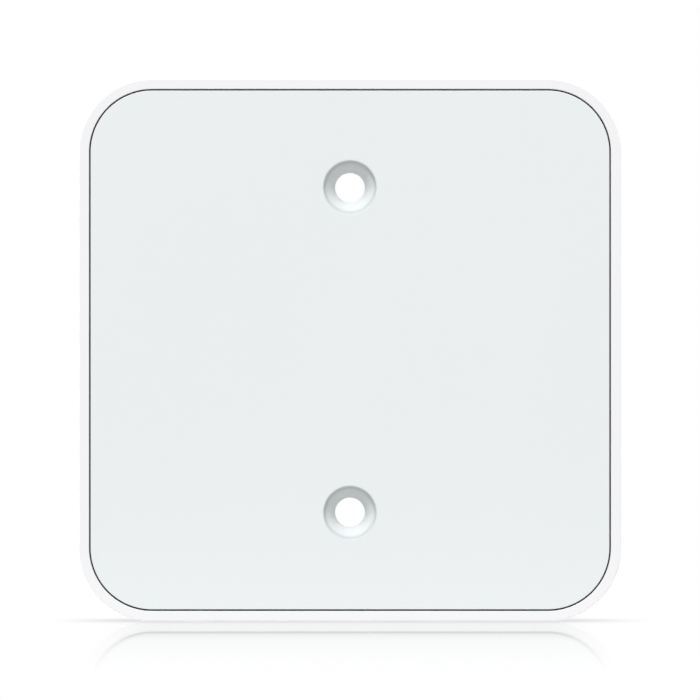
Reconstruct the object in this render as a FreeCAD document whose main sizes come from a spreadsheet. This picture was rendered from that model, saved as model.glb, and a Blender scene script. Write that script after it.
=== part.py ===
"""Magnetic ceiling mount of a compact access point, as a parametric FreeCAD document.

A moulded tray carries a ring of magnets on a steel yoke plate behind a flush face panel. Two wall
screws go through countersunk seats in the panel, and the access point then sits on the face by magnetism.

Frame: millimetres, +Z up. The plane y = 0 is the wall or ceiling, and the plate stands out from it
towards -Y. The origin is the middle of the wall screw pattern. A "depth" below is the distance from
the wall plane towards the front, so a point at depth d has y = -d.
"""

import FreeCAD
import Part
import Sketcher
import math
import os
from FreeCAD import Placement, Rotation, Vector

DOCUMENT_NAME = "access_point_ceiling_mount"
OUTPUT_FOLDER = "parts"
# Millimetres within which an edge counts as lying where a test looks for it.
TOLERANCE = 1e-4

# Alias, value in millimetres or a plain count, and what it sizes.
SIZES = [
    ("plate_width", 100.0, "tray, side to side"),
    ("plate_height", 100.0, "tray, top to bottom"),
    ("corner_radius", 13.5, "outer corners of the tray"),
    ("rim_wall", 1.89, "frame that shows around the panel"),
    ("front_edge_radius", 0.25, "outer front edge of the rim"),
    ("back_edge_radius", 0.6, "outer back edge of the tray"),
    ("floor_land", 0.1, "floor left in front of a yoke screw's cone"),
    ("ledge_width", 1.5, "step inside the rim that the tape sits on"),
    ("panel_gap", 0.3, "seam between the rim and the panel"),
    ("panel_thickness", 1.25, "face panel"),
    ("panel_edge_radius", 0.12, "front outer edge of the panel"),
    ("seat_edge_radius", 0.4, "front edge around a sunken seat"),
    ("tape_thickness", 0.2, "tape between the ledge and the panel"),
    ("tape_clearance", 0.05, "gap between the tape and the rim"),
    ("tape_setback", 0.15, "how far the tape ends short of the ledge's edge"),
    ("hole_spacing", 60.0, "wall screw holes, centre to centre"),
    ("bore_radius", 2.75, "wall screw hole"),
    ("seat_cone", 1.9, "depth and radial width of the 90 degree countersink"),
    ("seat_land", 0.07, "flat lip around the countersink"),
    ("seat_sink", 0.9, "how far the seat lies below the face"),
    ("cup_wall", 1.68, "wall of the panel's cup around a seat"),
    ("cup_root", 0.8, "wall of the cup under the countersink"),
    ("foot_wall", 3.25, "ring around a wall screw hole that meets the wall"),
    ("pack_clearance", 0.3, "gap around the yoke and the carrier"),
    ("yoke_thickness", 1.0, "steel plate behind the magnets"),
    ("window_web", 4.5, "yoke and carrier left around their window"),
    ("window_radius", 3.0, "corners of the window"),
    ("magnet_diameter", 10.0, "disc magnet"),
    ("magnet_height", 3.0, "disc magnet"),
    ("magnet_chamfer", 0.25, "edges of a magnet"),
    ("magnet_fit", 0.08, "radial gap around a magnet in the carrier"),
    ("magnet_proud", 0.2, "how far the magnets stand out of the carrier"),
    ("magnet_air_gap", 0.25, "gap between the magnets and the panel"),
    ("ring_inset", 18.0, "magnet ring's distance in from the plate's edge"),
    ("column_inset", 8.0, "how far a column of magnets ends short of the rows"),
    ("row_offset", 16.0, "magnets beside a seat, from the plate's upright middle line"),
    ("lattice_clearance", 1.0, "gap between the lattice and the window's edge"),
    ("lattice_wall", 1.2, "ribs of the lattice that backs the panel's middle"),
    ("lattice_cells", 4, "cells along each side of the lattice"),
    ("lattice_cell_radius", 0.5, "corners of a lattice cell"),
    ("core_width", 46.0, "grid of core-outs in the back, side to side"),
    ("core_margin", 1.0, "gap between the core-outs and the feet"),
    ("core_wall", 2.0, "wall between two core-outs"),
    ("core_radius", 1.5, "corners of a core-out"),
    ("core_depth", 0.6, "depth of a core-out"),
    ("core_cells", 4, "core-outs along each side of their grid"),
    ("screw_inset", 12.5, "yoke screws' distance in from the plate's edges"),
    ("screw_radius", 1.25, "thread of a yoke screw, M2.5"),
    ("screw_play", 0.15, "radial gap around a screw in the floor"),
    ("head_radius", 2.35, "countersunk head of a yoke screw"),
    ("head_rim", 0.2, "straight rim of the head above its cone"),
    ("head_sink", 0.1, "how far the head lies below the floor's back face"),
    ("tip_length", 0.5, "length of screw that stands past the yoke"),
    ("recess_length", 2.6, "cross recess, end to end"),
    ("recess_width", 0.6, "cross recess, across one slot"),
    ("recess_depth", 0.9, "cross recess"),
    ("pad_length", 20.0, "grip pad on the back"),
    ("pad_width", 6.0, "grip pad on the back"),
    ("pad_radius", 2.6, "corners of a grip pad"),
    ("pad_edge_radius", 0.2, "wall side edge of a grip pad"),
    ("pad_inset", 7.5, "middle of a pad to the plate's edge"),
    ("pad_gap", 5.0, "gap between a pad and the mouth of a yoke screw's hole"),
    ("pad_recess", 0.6, "depth of the pocket that a pad is stuck into"),
    ("pad_fit", 0.1, "gap around a pad in its pocket"),
    ("pad_proud", 0.5, "how far the pads and feet stand out of the back"),
]

# Depths from the wall plane, as expressions on the sheet.
HEAD_STACK = "(sizes.head_sink + sizes.head_rim + sizes.head_radius - sizes.screw_radius)"
FLOOR_THICKNESS = f"{HEAD_STACK} + sizes.floor_land"
FLOOR_BACK = "sizes.pad_proud"
FLOOR_FRONT = f"{FLOOR_BACK} + {FLOOR_THICKNESS}"
YOKE_FRONT = f"{FLOOR_FRONT} + sizes.yoke_thickness"
MAGNET_FRONT = f"{YOKE_FRONT} + sizes.magnet_height"
CARRIER_FRONT = f"{MAGNET_FRONT} - sizes.magnet_proud"
PANEL_BACK = f"{MAGNET_FRONT} + sizes.magnet_air_gap"
PANEL_FRONT = f"{PANEL_BACK} + sizes.panel_thickness"
LEDGE_FRONT = f"{PANEL_BACK} - sizes.tape_thickness"
SEAT_FRONT = f"{PANEL_FRONT} - sizes.seat_sink"
CUP_BACK = f"{SEAT_FRONT} - sizes.seat_cone - sizes.cup_root"
HEAD_BACK = f"{FLOOR_BACK} + sizes.head_sink"

# Radii that several pieces share.
SEAT_RADIUS = "sizes.bore_radius + sizes.seat_cone + sizes.seat_land"
POST_RADIUS = f"{SEAT_RADIUS} + sizes.cup_wall"
POST_HOLE_RADIUS = f"{POST_RADIUS} + sizes.pack_clearance"
FOOT_RADIUS = "sizes.bore_radius + sizes.foot_wall"
MAGNET_POCKET_RADIUS = "sizes.magnet_diameter / 2 + sizes.magnet_fit"
HEAD_MOUTH_RADIUS = "sizes.head_radius + sizes.head_rim + sizes.head_sink"
SCREW_HOLE_RADIUS = "sizes.screw_radius + sizes.screw_play"

# Distances from the middle of the plate.
HOLE_Z = "sizes.hole_spacing / 2"
SCREW_X = "sizes.plate_width / 2 - sizes.screw_inset"
SCREW_Z = "sizes.plate_height / 2 - sizes.screw_inset"
RING_X = "sizes.plate_width / 2 - sizes.ring_inset"
RING_Z = "sizes.plate_height / 2 - sizes.ring_inset"
COLUMN_STEP = f"({RING_Z} - sizes.column_inset) / 3"
WINDOW_X = f"({RING_X} - ({MAGNET_POCKET_RADIUS}) - sizes.window_web)"
WINDOW_Z = (
    f"(min({HOLE_Z} - ({POST_HOLE_RADIUS}); {RING_Z} - ({MAGNET_POCKET_RADIUS})) - sizes.window_web)"
)
PAD_X = "sizes.plate_width / 2 - sizes.pad_inset"
PAD_Z = f"{SCREW_Z} - ({HEAD_MOUTH_RADIUS}) - sizes.pad_gap - sizes.pad_length / 2"

SIGNS = (1, -1)


def inset_outline(inset):
    """Width, height and corner radius of the plate's outline moved in by an expression."""
    return (
        f"sizes.plate_width - 2 * ({inset})",
        f"sizes.plate_height - 2 * ({inset})",
        f"sizes.corner_radius - ({inset})",
    )


def signed(sign, expression):
    """The expression, or its negative."""
    return expression if sign > 0 else f"-({expression})"


REBATE_OUTLINE = inset_outline("sizes.rim_wall")
CAVITY_OUTLINE = inset_outline("sizes.rim_wall + sizes.ledge_width")
PACK_OUTLINE = inset_outline("sizes.rim_wall + sizes.ledge_width + sizes.pack_clearance")
PANEL_OUTLINE = inset_outline("sizes.rim_wall + sizes.panel_gap")
TAPE_OUTER = inset_outline("sizes.rim_wall + sizes.tape_clearance")
TAPE_INNER = inset_outline("sizes.rim_wall + sizes.ledge_width - sizes.tape_setback")
WINDOW_OUTLINE = (f"2 * {WINDOW_X}", f"2 * {WINDOW_Z}", "sizes.window_radius")
LATTICE_OUTLINE = (
    f"2 * ({WINDOW_X} - sizes.lattice_clearance)",
    f"2 * ({WINDOW_Z} - sizes.lattice_clearance)",
    "sizes.window_radius - sizes.lattice_clearance",
)
CORE_SPANS = ("sizes.core_width", f"2 * ({HOLE_Z} - ({FOOT_RADIUS}) - sizes.core_margin)")
PAD_OUTLINE = ("sizes.pad_width", "sizes.pad_length", "sizes.pad_radius")
PAD_POCKET_OUTLINE = (
    "sizes.pad_width + 2 * sizes.pad_fit",
    "sizes.pad_length + 2 * sizes.pad_fit",
    "sizes.pad_radius + sizes.pad_fit",
)

# Places in the plate's plane, as pairs of expressions (x, z).
SEAT_PLACES = [("0", signed(s, HOLE_Z)) for s in SIGNS]
SCREW_PLACES = [(signed(i, SCREW_X), signed(k, SCREW_Z)) for i in SIGNS for k in SIGNS]
COLUMN_PLACES = [
    (signed(i, RING_X), signed(k, f"{steps} * {COLUMN_STEP}"))
    for i in SIGNS
    for steps in (1, 3)
    for k in SIGNS
]
ROW_PLACES = [(signed(i, "sizes.row_offset"), signed(k, RING_Z)) for i in SIGNS for k in SIGNS]
MAGNET_PLACES = COLUMN_PLACES + ROW_PLACES
PAD_PLACES = [(signed(i, PAD_X), signed(k, PAD_Z)) for i in SIGNS for k in SIGNS]


class Model:
    """The document, its sheet of sizes, and short forms of the features that the pieces use."""

    def __init__(self):
        self.doc = FreeCAD.newDocument(DOCUMENT_NAME)
        self.sheet = self.doc.addObject("Spreadsheet::Sheet", "sizes")
        self.nodes = []
        for row, (alias, value, note) in enumerate(SIZES, start=1):
            self.sheet.set(f"A{row}", alias)
            self.sheet.set(f"B{row}", str(value))
            self.sheet.set(f"C{row}", note)
            self.sheet.setAlias(f"B{row}", alias)
        self.doc.recompute()

    def value(self, expression):
        """The number that an expression on the sheet gives."""
        return float(self.sheet.evalExpression(expression))

    def body(self, name):
        """A new PartDesign body whose label names its node."""
        made = self.doc.addObject("PartDesign::Body", name)
        made.Label = name
        self.nodes.append(made)
        return made

    def sketch(self, body, name, depth):
        """A sketch in the plate's plane at a depth: its x is +X, its y is +Z and its normal is -Y."""
        made = body.newObject("Sketcher::SketchObject", f"{body.Name}_{name}")
        plane = next(o for o in body.Origin.OriginFeatures if o.Role == "XZ_Plane")
        made.AttachmentSupport = [(plane, "")]
        made.MapMode = "FlatFace"
        made.setExpression("AttachmentOffset.Base.z", depth)
        return made

    def dimension(self, sketch, kind, references, expression):
        """A driving dimension of a sketch, bound to an expression on the sheet."""
        index = sketch.addConstraint(Sketcher.Constraint(kind, *references, self.value(expression)))
        name = f"{kind}_{index}"
        sketch.renameConstraint(index, name)
        sketch.setExpression(f"Constraints.{name}", expression)

    def place_point(self, sketch, geometry, position, place):
        """Ties a point of the sketch to a place given as two expressions."""
        x, z = place
        if place == ("0", "0"):
            sketch.addConstraint(Sketcher.Constraint("Coincident", geometry, position, -1, 1))
            return
        if x == "0":
            sketch.addConstraint(Sketcher.Constraint("PointOnObject", geometry, position, -2))
        else:
            self.dimension(sketch, "DistanceX", (-1, 1, geometry, position), x)
        if z == "0":
            sketch.addConstraint(Sketcher.Constraint("PointOnObject", geometry, position, -1))
        else:
            self.dimension(sketch, "DistanceY", (-1, 1, geometry, position), z)

    def circle(self, sketch, radius, place=("0", "0")):
        """A circle of a radius about a place."""
        centre = Vector(self.value(place[0]), self.value(place[1]), 0)
        made = sketch.addGeometry(Part.Circle(centre, Vector(0, 0, 1), self.value(radius)))
        self.place_point(sketch, made, 3, place)
        self.dimension(sketch, "Radius", (made,), radius)

    def rounded_rectangle(self, sketch, outline, place=("0", "0")):
        """A rectangle with four equal round corners, centred on a place."""
        width, height, radius = (self.value(expression) for expression in outline)
        x, z = self.value(place[0]), self.value(place[1])
        centres = [
            Vector(x + i * (width / 2 - radius), z + k * (height / 2 - radius), 0)
            for i, k in ((1, 1), (-1, 1), (-1, -1), (1, -1))
        ]
        arcs = []
        for quarter, centre in enumerate(centres):
            start = quarter * math.pi / 2
            corner = Part.Circle(centre, Vector(0, 0, 1), radius)
            arcs.append(sketch.addGeometry(Part.ArcOfCircle(corner, start, start + math.pi / 2)))
        sides = []
        for quarter, centre in enumerate(centres):
            out = Vector(math.cos((quarter + 1) * math.pi / 2), math.sin((quarter + 1) * math.pi / 2), 0)
            following = centres[(quarter + 1) % 4]
            segment = Part.LineSegment(centre + out * radius, following + out * radius)
            sides.append(sketch.addGeometry(segment))
        for quarter in range(4):
            side, arc, after = sides[quarter], arcs[quarter], arcs[(quarter + 1) % 4]
            sketch.addConstraint(Sketcher.Constraint("Tangent", arc, 2, side, 1))
            sketch.addConstraint(Sketcher.Constraint("Tangent", side, 2, after, 1))
            sketch.addConstraint(Sketcher.Constraint(("Horizontal", "Vertical")[quarter % 2], side))
            if quarter:
                sketch.addConstraint(Sketcher.Constraint("Equal", arcs[0], arc))
        if place == ("0", "0"):
            sketch.addConstraint(Sketcher.Constraint("Symmetric", arcs[0], 3, arcs[2], 3, -1, 1))
        else:
            middle = sketch.addGeometry(Part.Point(Vector(x, z, 0)), True)
            self.place_point(sketch, middle, 1, place)
            sketch.addConstraint(Sketcher.Constraint("Symmetric", arcs[0], 3, arcs[2], 3, middle, 1))
        self.dimension(sketch, "Radius", (arcs[0],), outline[2])
        self.dimension(sketch, "DistanceX", (sides[1], 1, sides[3], 1), outline[0])
        self.dimension(sketch, "DistanceY", (sides[2], 1, sides[0], 1), outline[1])

    def grow(self, body, sketch, length, kind="Pad", reverse=False):
        """A Pad or Pocket of a sketch, checked to have added or removed volume."""
        before = body.Shape.Volume if body.Tip else 0.0
        made = body.newObject(f"PartDesign::{kind}", f"{sketch.Name}_{kind.lower()}")
        made.Profile = sketch
        made.Type = "Length"
        made.Reversed = reverse
        made.setExpression("Length", length)
        sketch.Visibility = False
        self.doc.recompute()
        gained = body.Shape.Volume - before
        if (gained <= 0) if kind == "Pad" else (gained >= 0):
            raise RuntimeError(f"{made.Name} changed the volume by {gained:.3f} mm3")
        return made

    def cut(self, body, sketch, length, reverse=False):
        """A Pocket towards the wall, or towards the front if reversed."""
        return self.grow(body, sketch, length, "Pocket", reverse)

    def cell_grid(self, body, name, depth, spans, wall, count, radius, length, reverse=False):
        """A square grid of equal pockets that fills two spans, with walls between the pockets."""
        sizes = [f"(({span}) - ({count} - 1) * {wall}) / {count}" for span in spans]
        pitches = [f"{size} + {wall}" for size in sizes]
        first = tuple(f"-({pitch}) * ({count} - 1) / 2" for pitch in pitches)
        cell = self.sketch(body, name, depth)
        self.rounded_rectangle(cell, (*sizes, radius), first)
        pocket = self.cut(body, cell, length, reverse)

        before = body.Shape.Volume
        grid = body.newObject("PartDesign::LinearPattern", f"{cell.Name}_grid")
        grid.Originals = [pocket]
        grid.Direction = (cell, ["H_Axis"])
        grid.Direction2 = (cell, ["V_Axis"])
        for suffix, pitch in zip(("", "2"), pitches):
            setattr(grid, f"Mode{suffix}", "Spacing")
            grid.setExpression(f"Offset{suffix}", pitch)
            grid.setExpression(f"Occurrences{suffix}", count)
        body.Tip = grid
        self.doc.recompute()
        if body.Shape.Volume >= before:
            raise RuntimeError(f"{grid.Name} cut nothing")

    def dress(self, body, kind, size, wanted):
        """A Fillet or Chamfer of a size on the tip's edges that the test picks."""
        tip = body.Tip
        names = [f"Edge{n}" for n, edge in enumerate(tip.Shape.Edges, start=1) if wanted(edge)]
        if not names:
            raise RuntimeError(f"{body.Name} has no edge for its {kind.lower()}")
        made = body.newObject(f"PartDesign::{kind}", f"{body.Name}_{kind.lower()}")
        made.Base = (tip, names)
        made.setExpression("Radius" if kind == "Fillet" else "Size", size)
        self.doc.recompute()
        return made

    def ring_edges(self, depth, radius, places):
        """A test for round edges of a radius at a depth about any of the places."""
        y, wanted_radius = -self.value(depth), self.value(radius)
        centres = [Vector(self.value(x), y, self.value(z)) for x, z in places]

        def wanted(edge):
            if not is_round(edge) or abs(edge.Curve.Radius - wanted_radius) > TOLERANCE:
                return False
            return any((edge.Curve.Center - centre).Length < TOLERANCE for centre in centres)

        return wanted

    def outline_edges(self, depth, outline, place=("0", "0")):
        """A test for the edges of a rounded rectangle at a depth."""
        y = -self.value(depth)
        half_width, half_height = self.value(outline[0]) / 2, self.value(outline[1]) / 2
        radius = self.value(outline[2])
        x, z = self.value(place[0]), self.value(place[1])

        def wanted(edge):
            box = edge.BoundBox
            if abs(box.YMin - y) > TOLERANCE or abs(box.YMax - y) > TOLERANCE:
                return False
            at = edge.valueAt((edge.FirstParameter + edge.LastParameter) / 2)
            over_x = max(abs(at.x - x) - (half_width - radius), 0.0)
            over_z = max(abs(at.z - z) - (half_height - radius), 0.0)
            return abs(math.hypot(over_x, over_z) - radius) < TOLERANCE

        return wanted


def make_tray(model):
    """The white tray: rim, ledge, floor, the two screw posts, panel ribs and the moulded back."""
    tray = model.body("base_tray")
    whole = inset_outline("0")

    block = model.sketch(tray, "block", FLOOR_BACK)
    model.rounded_rectangle(block, whole)
    model.grow(tray, block, f"{PANEL_FRONT} - ({FLOOR_BACK})")
    model.dress(tray, "Fillet", "sizes.front_edge_radius", model.outline_edges(PANEL_FRONT, whole))
    model.dress(tray, "Fillet", "sizes.back_edge_radius", model.outline_edges(FLOOR_BACK, whole))

    rebate = model.sketch(tray, "rebate", PANEL_FRONT)
    model.rounded_rectangle(rebate, REBATE_OUTLINE)
    model.cut(tray, rebate, f"{PANEL_FRONT} - ({LEDGE_FRONT})")

    cavity = model.sketch(tray, "cavity", LEDGE_FRONT)
    model.rounded_rectangle(cavity, CAVITY_OUTLINE)
    model.cut(tray, cavity, f"{LEDGE_FRONT} - ({FLOOR_FRONT})")

    add_posts(model, tray)
    add_lattice(model, tray)
    add_core_outs(model, tray)
    add_pad_pockets(model, tray)
    add_yoke_screw_holes(model, tray)


def add_posts(model, tray):
    """Posts that back the panel's cups, feet that meet the wall, and bores through both."""
    stages = [("post", FLOOR_FRONT, CUP_BACK, POST_RADIUS), ("foot", "0", FLOOR_BACK, FOOT_RADIUS)]
    for name, low, high, radius in stages:
        rings = model.sketch(tray, name, low)
        for place in SEAT_PLACES:
            model.circle(rings, radius, place)
        model.grow(tray, rings, f"{high} - ({low})")

    bores = model.sketch(tray, "bores", CUP_BACK)
    for place in SEAT_PLACES:
        model.circle(bores, "sizes.bore_radius", place)
    model.cut(tray, bores, CUP_BACK)


def add_lattice(model, tray):
    """An egg-crate of ribs in the window that keeps the panel's middle from bowing in."""
    height = f"{PANEL_BACK} - ({FLOOR_FRONT})"
    block = model.sketch(tray, "lattice", FLOOR_FRONT)
    model.rounded_rectangle(block, LATTICE_OUTLINE)
    model.grow(tray, block, height)
    spans = [f"{side} - 2 * sizes.lattice_wall" for side in LATTICE_OUTLINE[:2]]
    grid = ("sizes.lattice_wall", "sizes.lattice_cells", "sizes.lattice_cell_radius")
    model.cell_grid(tray, "lattice_cell", PANEL_BACK, spans, *grid, height)


def add_core_outs(model, tray):
    """A grid of shallow pockets in the back of the floor, between the feet."""
    grid = ("sizes.core_wall", "sizes.core_cells", "sizes.core_radius")
    model.cell_grid(tray, "core_out", FLOOR_BACK, CORE_SPANS, *grid, "sizes.core_depth", reverse=True)


def add_pad_pockets(model, tray):
    """Shallow pockets in the back of the floor that the grip pads are stuck into."""
    pockets = model.sketch(tray, "pad_pockets", FLOOR_BACK)
    for place in PAD_PLACES:
        model.rounded_rectangle(pockets, PAD_POCKET_OUTLINE, place)
    model.cut(tray, pockets, "sizes.pad_recess", reverse=True)


def add_yoke_screw_holes(model, tray):
    """Countersunk clearance holes for the yoke screws, open to the back."""
    holes = model.sketch(tray, "screw_holes", FLOOR_BACK)
    for place in SCREW_PLACES:
        model.circle(holes, SCREW_HOLE_RADIUS, place)
    model.cut(tray, holes, FLOOR_THICKNESS, reverse=True)
    mouths = model.ring_edges(FLOOR_BACK, SCREW_HOLE_RADIUS, SCREW_PLACES)
    model.dress(tray, "Chamfer", f"{HEAD_MOUTH_RADIUS} - ({SCREW_HOLE_RADIUS})", mouths)


def make_panel(model):
    """The flush face panel, with a cup behind each screw hole that carries its countersunk seat."""
    panel = model.body("face_panel")
    sheet = model.sketch(panel, "sheet", PANEL_BACK)
    model.rounded_rectangle(sheet, PANEL_OUTLINE)
    model.grow(panel, sheet, "sizes.panel_thickness")
    rim = model.outline_edges(PANEL_FRONT, PANEL_OUTLINE)
    model.dress(panel, "Fillet", "sizes.panel_edge_radius", rim)

    cups = model.sketch(panel, "cups", CUP_BACK)
    for place in SEAT_PLACES:
        model.circle(cups, POST_RADIUS, place)
    model.grow(panel, cups, f"{PANEL_BACK} - ({CUP_BACK})")

    for name, front, back, radius in (
        ("entries", PANEL_FRONT, SEAT_FRONT, SEAT_RADIUS),
        ("bores", SEAT_FRONT, CUP_BACK, "sizes.bore_radius"),
    ):
        holes = model.sketch(panel, name, front)
        for place in SEAT_PLACES:
            model.circle(holes, radius, place)
        model.cut(panel, holes, f"{front} - ({back})")
    seats = model.ring_edges(SEAT_FRONT, "sizes.bore_radius", SEAT_PLACES)
    model.dress(panel, "Chamfer", "sizes.seat_cone", seats)
    mouths = model.ring_edges(PANEL_FRONT, SEAT_RADIUS, SEAT_PLACES)
    model.dress(panel, "Fillet", "sizes.seat_edge_radius", mouths)


def make_tape(model):
    """The band of double-sided tape that bonds the panel to the ledge and darkens the seam."""
    tape = model.body("panel_tape")
    band = model.sketch(tape, "band", LEDGE_FRONT)
    model.rounded_rectangle(band, TAPE_OUTER)
    model.rounded_rectangle(band, TAPE_INNER)
    model.grow(tape, band, "sizes.tape_thickness")


def start_pack_plate(model, name, depth, thickness):
    """A plate that fills the tray's cavity, with the window and the holes for the seat posts."""
    plate = model.body(name)
    sheet = model.sketch(plate, "sheet", depth)
    model.rounded_rectangle(sheet, PACK_OUTLINE)
    model.rounded_rectangle(sheet, WINDOW_OUTLINE)
    for place in SEAT_PLACES:
        model.circle(sheet, POST_HOLE_RADIUS, place)
    model.grow(plate, sheet, thickness)
    return plate


def make_yoke(model):
    """The steel plate behind the magnets, tapped for the yoke screws."""
    yoke = start_pack_plate(model, "yoke_plate", FLOOR_FRONT, "sizes.yoke_thickness")
    taps = model.sketch(yoke, "taps", YOKE_FRONT)
    for place in SCREW_PLACES:
        model.circle(taps, "sizes.screw_radius", place)
    model.cut(yoke, taps, "sizes.yoke_thickness")


def make_carrier(model):
    """The plastic plate that holds the magnets in their ring on the yoke."""
    thickness = "sizes.magnet_height - sizes.magnet_proud"
    carrier = start_pack_plate(model, "magnet_carrier", YOKE_FRONT, thickness)
    holes = model.sketch(carrier, "pockets", CARRIER_FRONT)
    for place in MAGNET_PLACES:
        model.circle(holes, MAGNET_POCKET_RADIUS, place)
    for place in SCREW_PLACES:
        model.circle(holes, "sizes.screw_radius + sizes.pack_clearance", place)
    model.cut(carrier, holes, thickness)


def is_round(edge):
    """Whether an edge is a circle or an arc of one."""
    return isinstance(edge.Curve, Part.Circle)


def make_magnets(model):
    """Disc magnets, each standing on the yoke in its own pocket of the carrier."""
    for number, place in enumerate(MAGNET_PLACES, start=1):
        magnet = model.body(f"magnet_{number:02d}")
        disc = model.sketch(magnet, "disc", YOKE_FRONT)
        model.circle(disc, "sizes.magnet_diameter / 2", place)
        model.grow(magnet, disc, "sizes.magnet_height")
        model.dress(magnet, "Chamfer", "sizes.magnet_chamfer", is_round)


def make_yoke_screws(model):
    """The countersunk screws that pull the yoke on to the floor, as one group of solids."""
    screws = [make_screw(model, number, place) for number, place in enumerate(SCREW_PLACES, start=1)]
    group = model.doc.addObject("Part::Compound", "yoke_screws")
    group.Label = "yoke_screws"
    group.Links = screws
    model.nodes.append(group)


def make_screw(model, number, place):
    """One screw: a straight head rim, a 90 degree cone, the shank, and a cross recess in the head."""
    cone_height = "(sizes.head_radius - sizes.screw_radius)"
    cone_back = f"{HEAD_BACK} + sizes.head_rim"
    shank_back = f"{cone_back} + {cone_height}"
    tip = f"{YOKE_FRONT} + sizes.tip_length"
    rim = make_primitive(model, "Cylinder", f"screw_{number}_rim", place, HEAD_BACK)
    rim.setExpression("Radius", "sizes.head_radius")
    rim.setExpression("Height", "sizes.head_rim")
    cone = make_primitive(model, "Cone", f"screw_{number}_cone", place, cone_back)
    cone.setExpression("Radius1", "sizes.head_radius")
    cone.setExpression("Radius2", "sizes.screw_radius")
    cone.setExpression("Height", cone_height)
    shank = make_primitive(model, "Cylinder", f"screw_{number}_shank", place, shank_back)
    shank.setExpression("Radius", "sizes.screw_radius")
    shank.setExpression("Height", f"{tip} - ({shank_back})")
    solid = model.doc.addObject("Part::MultiFuse", f"screw_{number}_solid")
    solid.Shapes = [rim, cone, shank]

    slots = []
    for turn, (along_x, along_z) in enumerate((("length", "width"), ("width", "length")), start=1):
        slot = model.doc.addObject("Part::Box", f"screw_{number}_slot_{turn}")
        slot.setExpression("Length", f"sizes.recess_{along_x}")
        slot.setExpression("Height", f"sizes.recess_{along_z}")
        slot.setExpression("Width", "sizes.recess_depth")
        slot.setExpression("Placement.Base.x", f"{place[0]} - sizes.recess_{along_x} / 2")
        slot.setExpression("Placement.Base.y", f"-({HEAD_BACK} + sizes.recess_depth)")
        slot.setExpression("Placement.Base.z", f"{place[1]} - sizes.recess_{along_z} / 2")
        slots.append(slot)
    cross = model.doc.addObject("Part::MultiFuse", f"screw_{number}_cross")
    cross.Shapes = slots
    screw = model.doc.addObject("Part::Cut", f"screw_{number}")
    screw.Base = solid
    screw.Tool = cross
    return screw


def make_primitive(model, kind, name, place, depth):
    """A round Part primitive standing on a depth, with its axis pointing at the front."""
    made = model.doc.addObject(f"Part::{kind}", name)
    made.Placement = Placement(Vector(), Rotation(Vector(1, 0, 0), 90))
    made.setExpression("Placement.Base.x", place[0])
    made.setExpression("Placement.Base.y", f"-({depth})")
    made.setExpression("Placement.Base.z", place[1])
    return made


def make_grip_pads(model):
    """The soft pads that grip the ceiling and take up its unevenness."""
    for number, place in enumerate(PAD_PLACES, start=1):
        pad = model.body(f"grip_pad_{number}")
        bar = model.sketch(pad, "bar", "0")
        model.rounded_rectangle(bar, PAD_OUTLINE, place)
        model.grow(pad, bar, f"{FLOOR_BACK} + sizes.pad_recess")
        edges = model.outline_edges("0", PAD_OUTLINE, place)
        model.dress(pad, "Fillet", "sizes.pad_edge_radius", edges)


def check(model):
    """Stops the build if any object failed to compute or any piece is not a sound solid."""
    for item in model.doc.Objects:
        if "Invalid" in item.State or "Error" in item.State:
            raise RuntimeError(f"{item.Name} failed: {item.State}")
    for node in model.nodes:
        shape = node.Shape
        if shape.isNull() or not shape.isValid() or not shape.Solids:
            raise RuntimeError(f"{node.Label} has no valid solid")


def export(model):
    """Writes each piece to a STEP file named after its label."""
    os.makedirs(OUTPUT_FOLDER, exist_ok=True)
    for node in model.nodes:
        node.Shape.exportStep(os.path.join(OUTPUT_FOLDER, f"{node.Label}.step"))
        print(f"{node.Label}: {len(node.Shape.Solids)} solid(s), {node.Shape.Volume:.1f} mm3")


def main():
    """Builds every piece, checks them all and writes their files."""
    model = Model()
    make_tray(model)
    make_panel(model)
    make_tape(model)
    make_yoke(model)
    make_carrier(model)
    make_magnets(model)
    make_yoke_screws(model)
    make_grip_pads(model)
    model.doc.recompute()
    check(model)
    export(model)


main()
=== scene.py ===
"""Looks of the magnetic ceiling mount: finely edged mouldings, their finishes, and a plain studio.

Lengths in the classes are millimetres, as on a drawing, and a depth is the distance from the wall plane
towards the front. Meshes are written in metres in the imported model's frame, where the wall plane is
y = 0 and the face panel looks towards -Y.
"""
import logging
import math
from dataclasses import dataclass
from enum import Enum, IntEnum
from typing import Any, Iterable, Sequence

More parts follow.
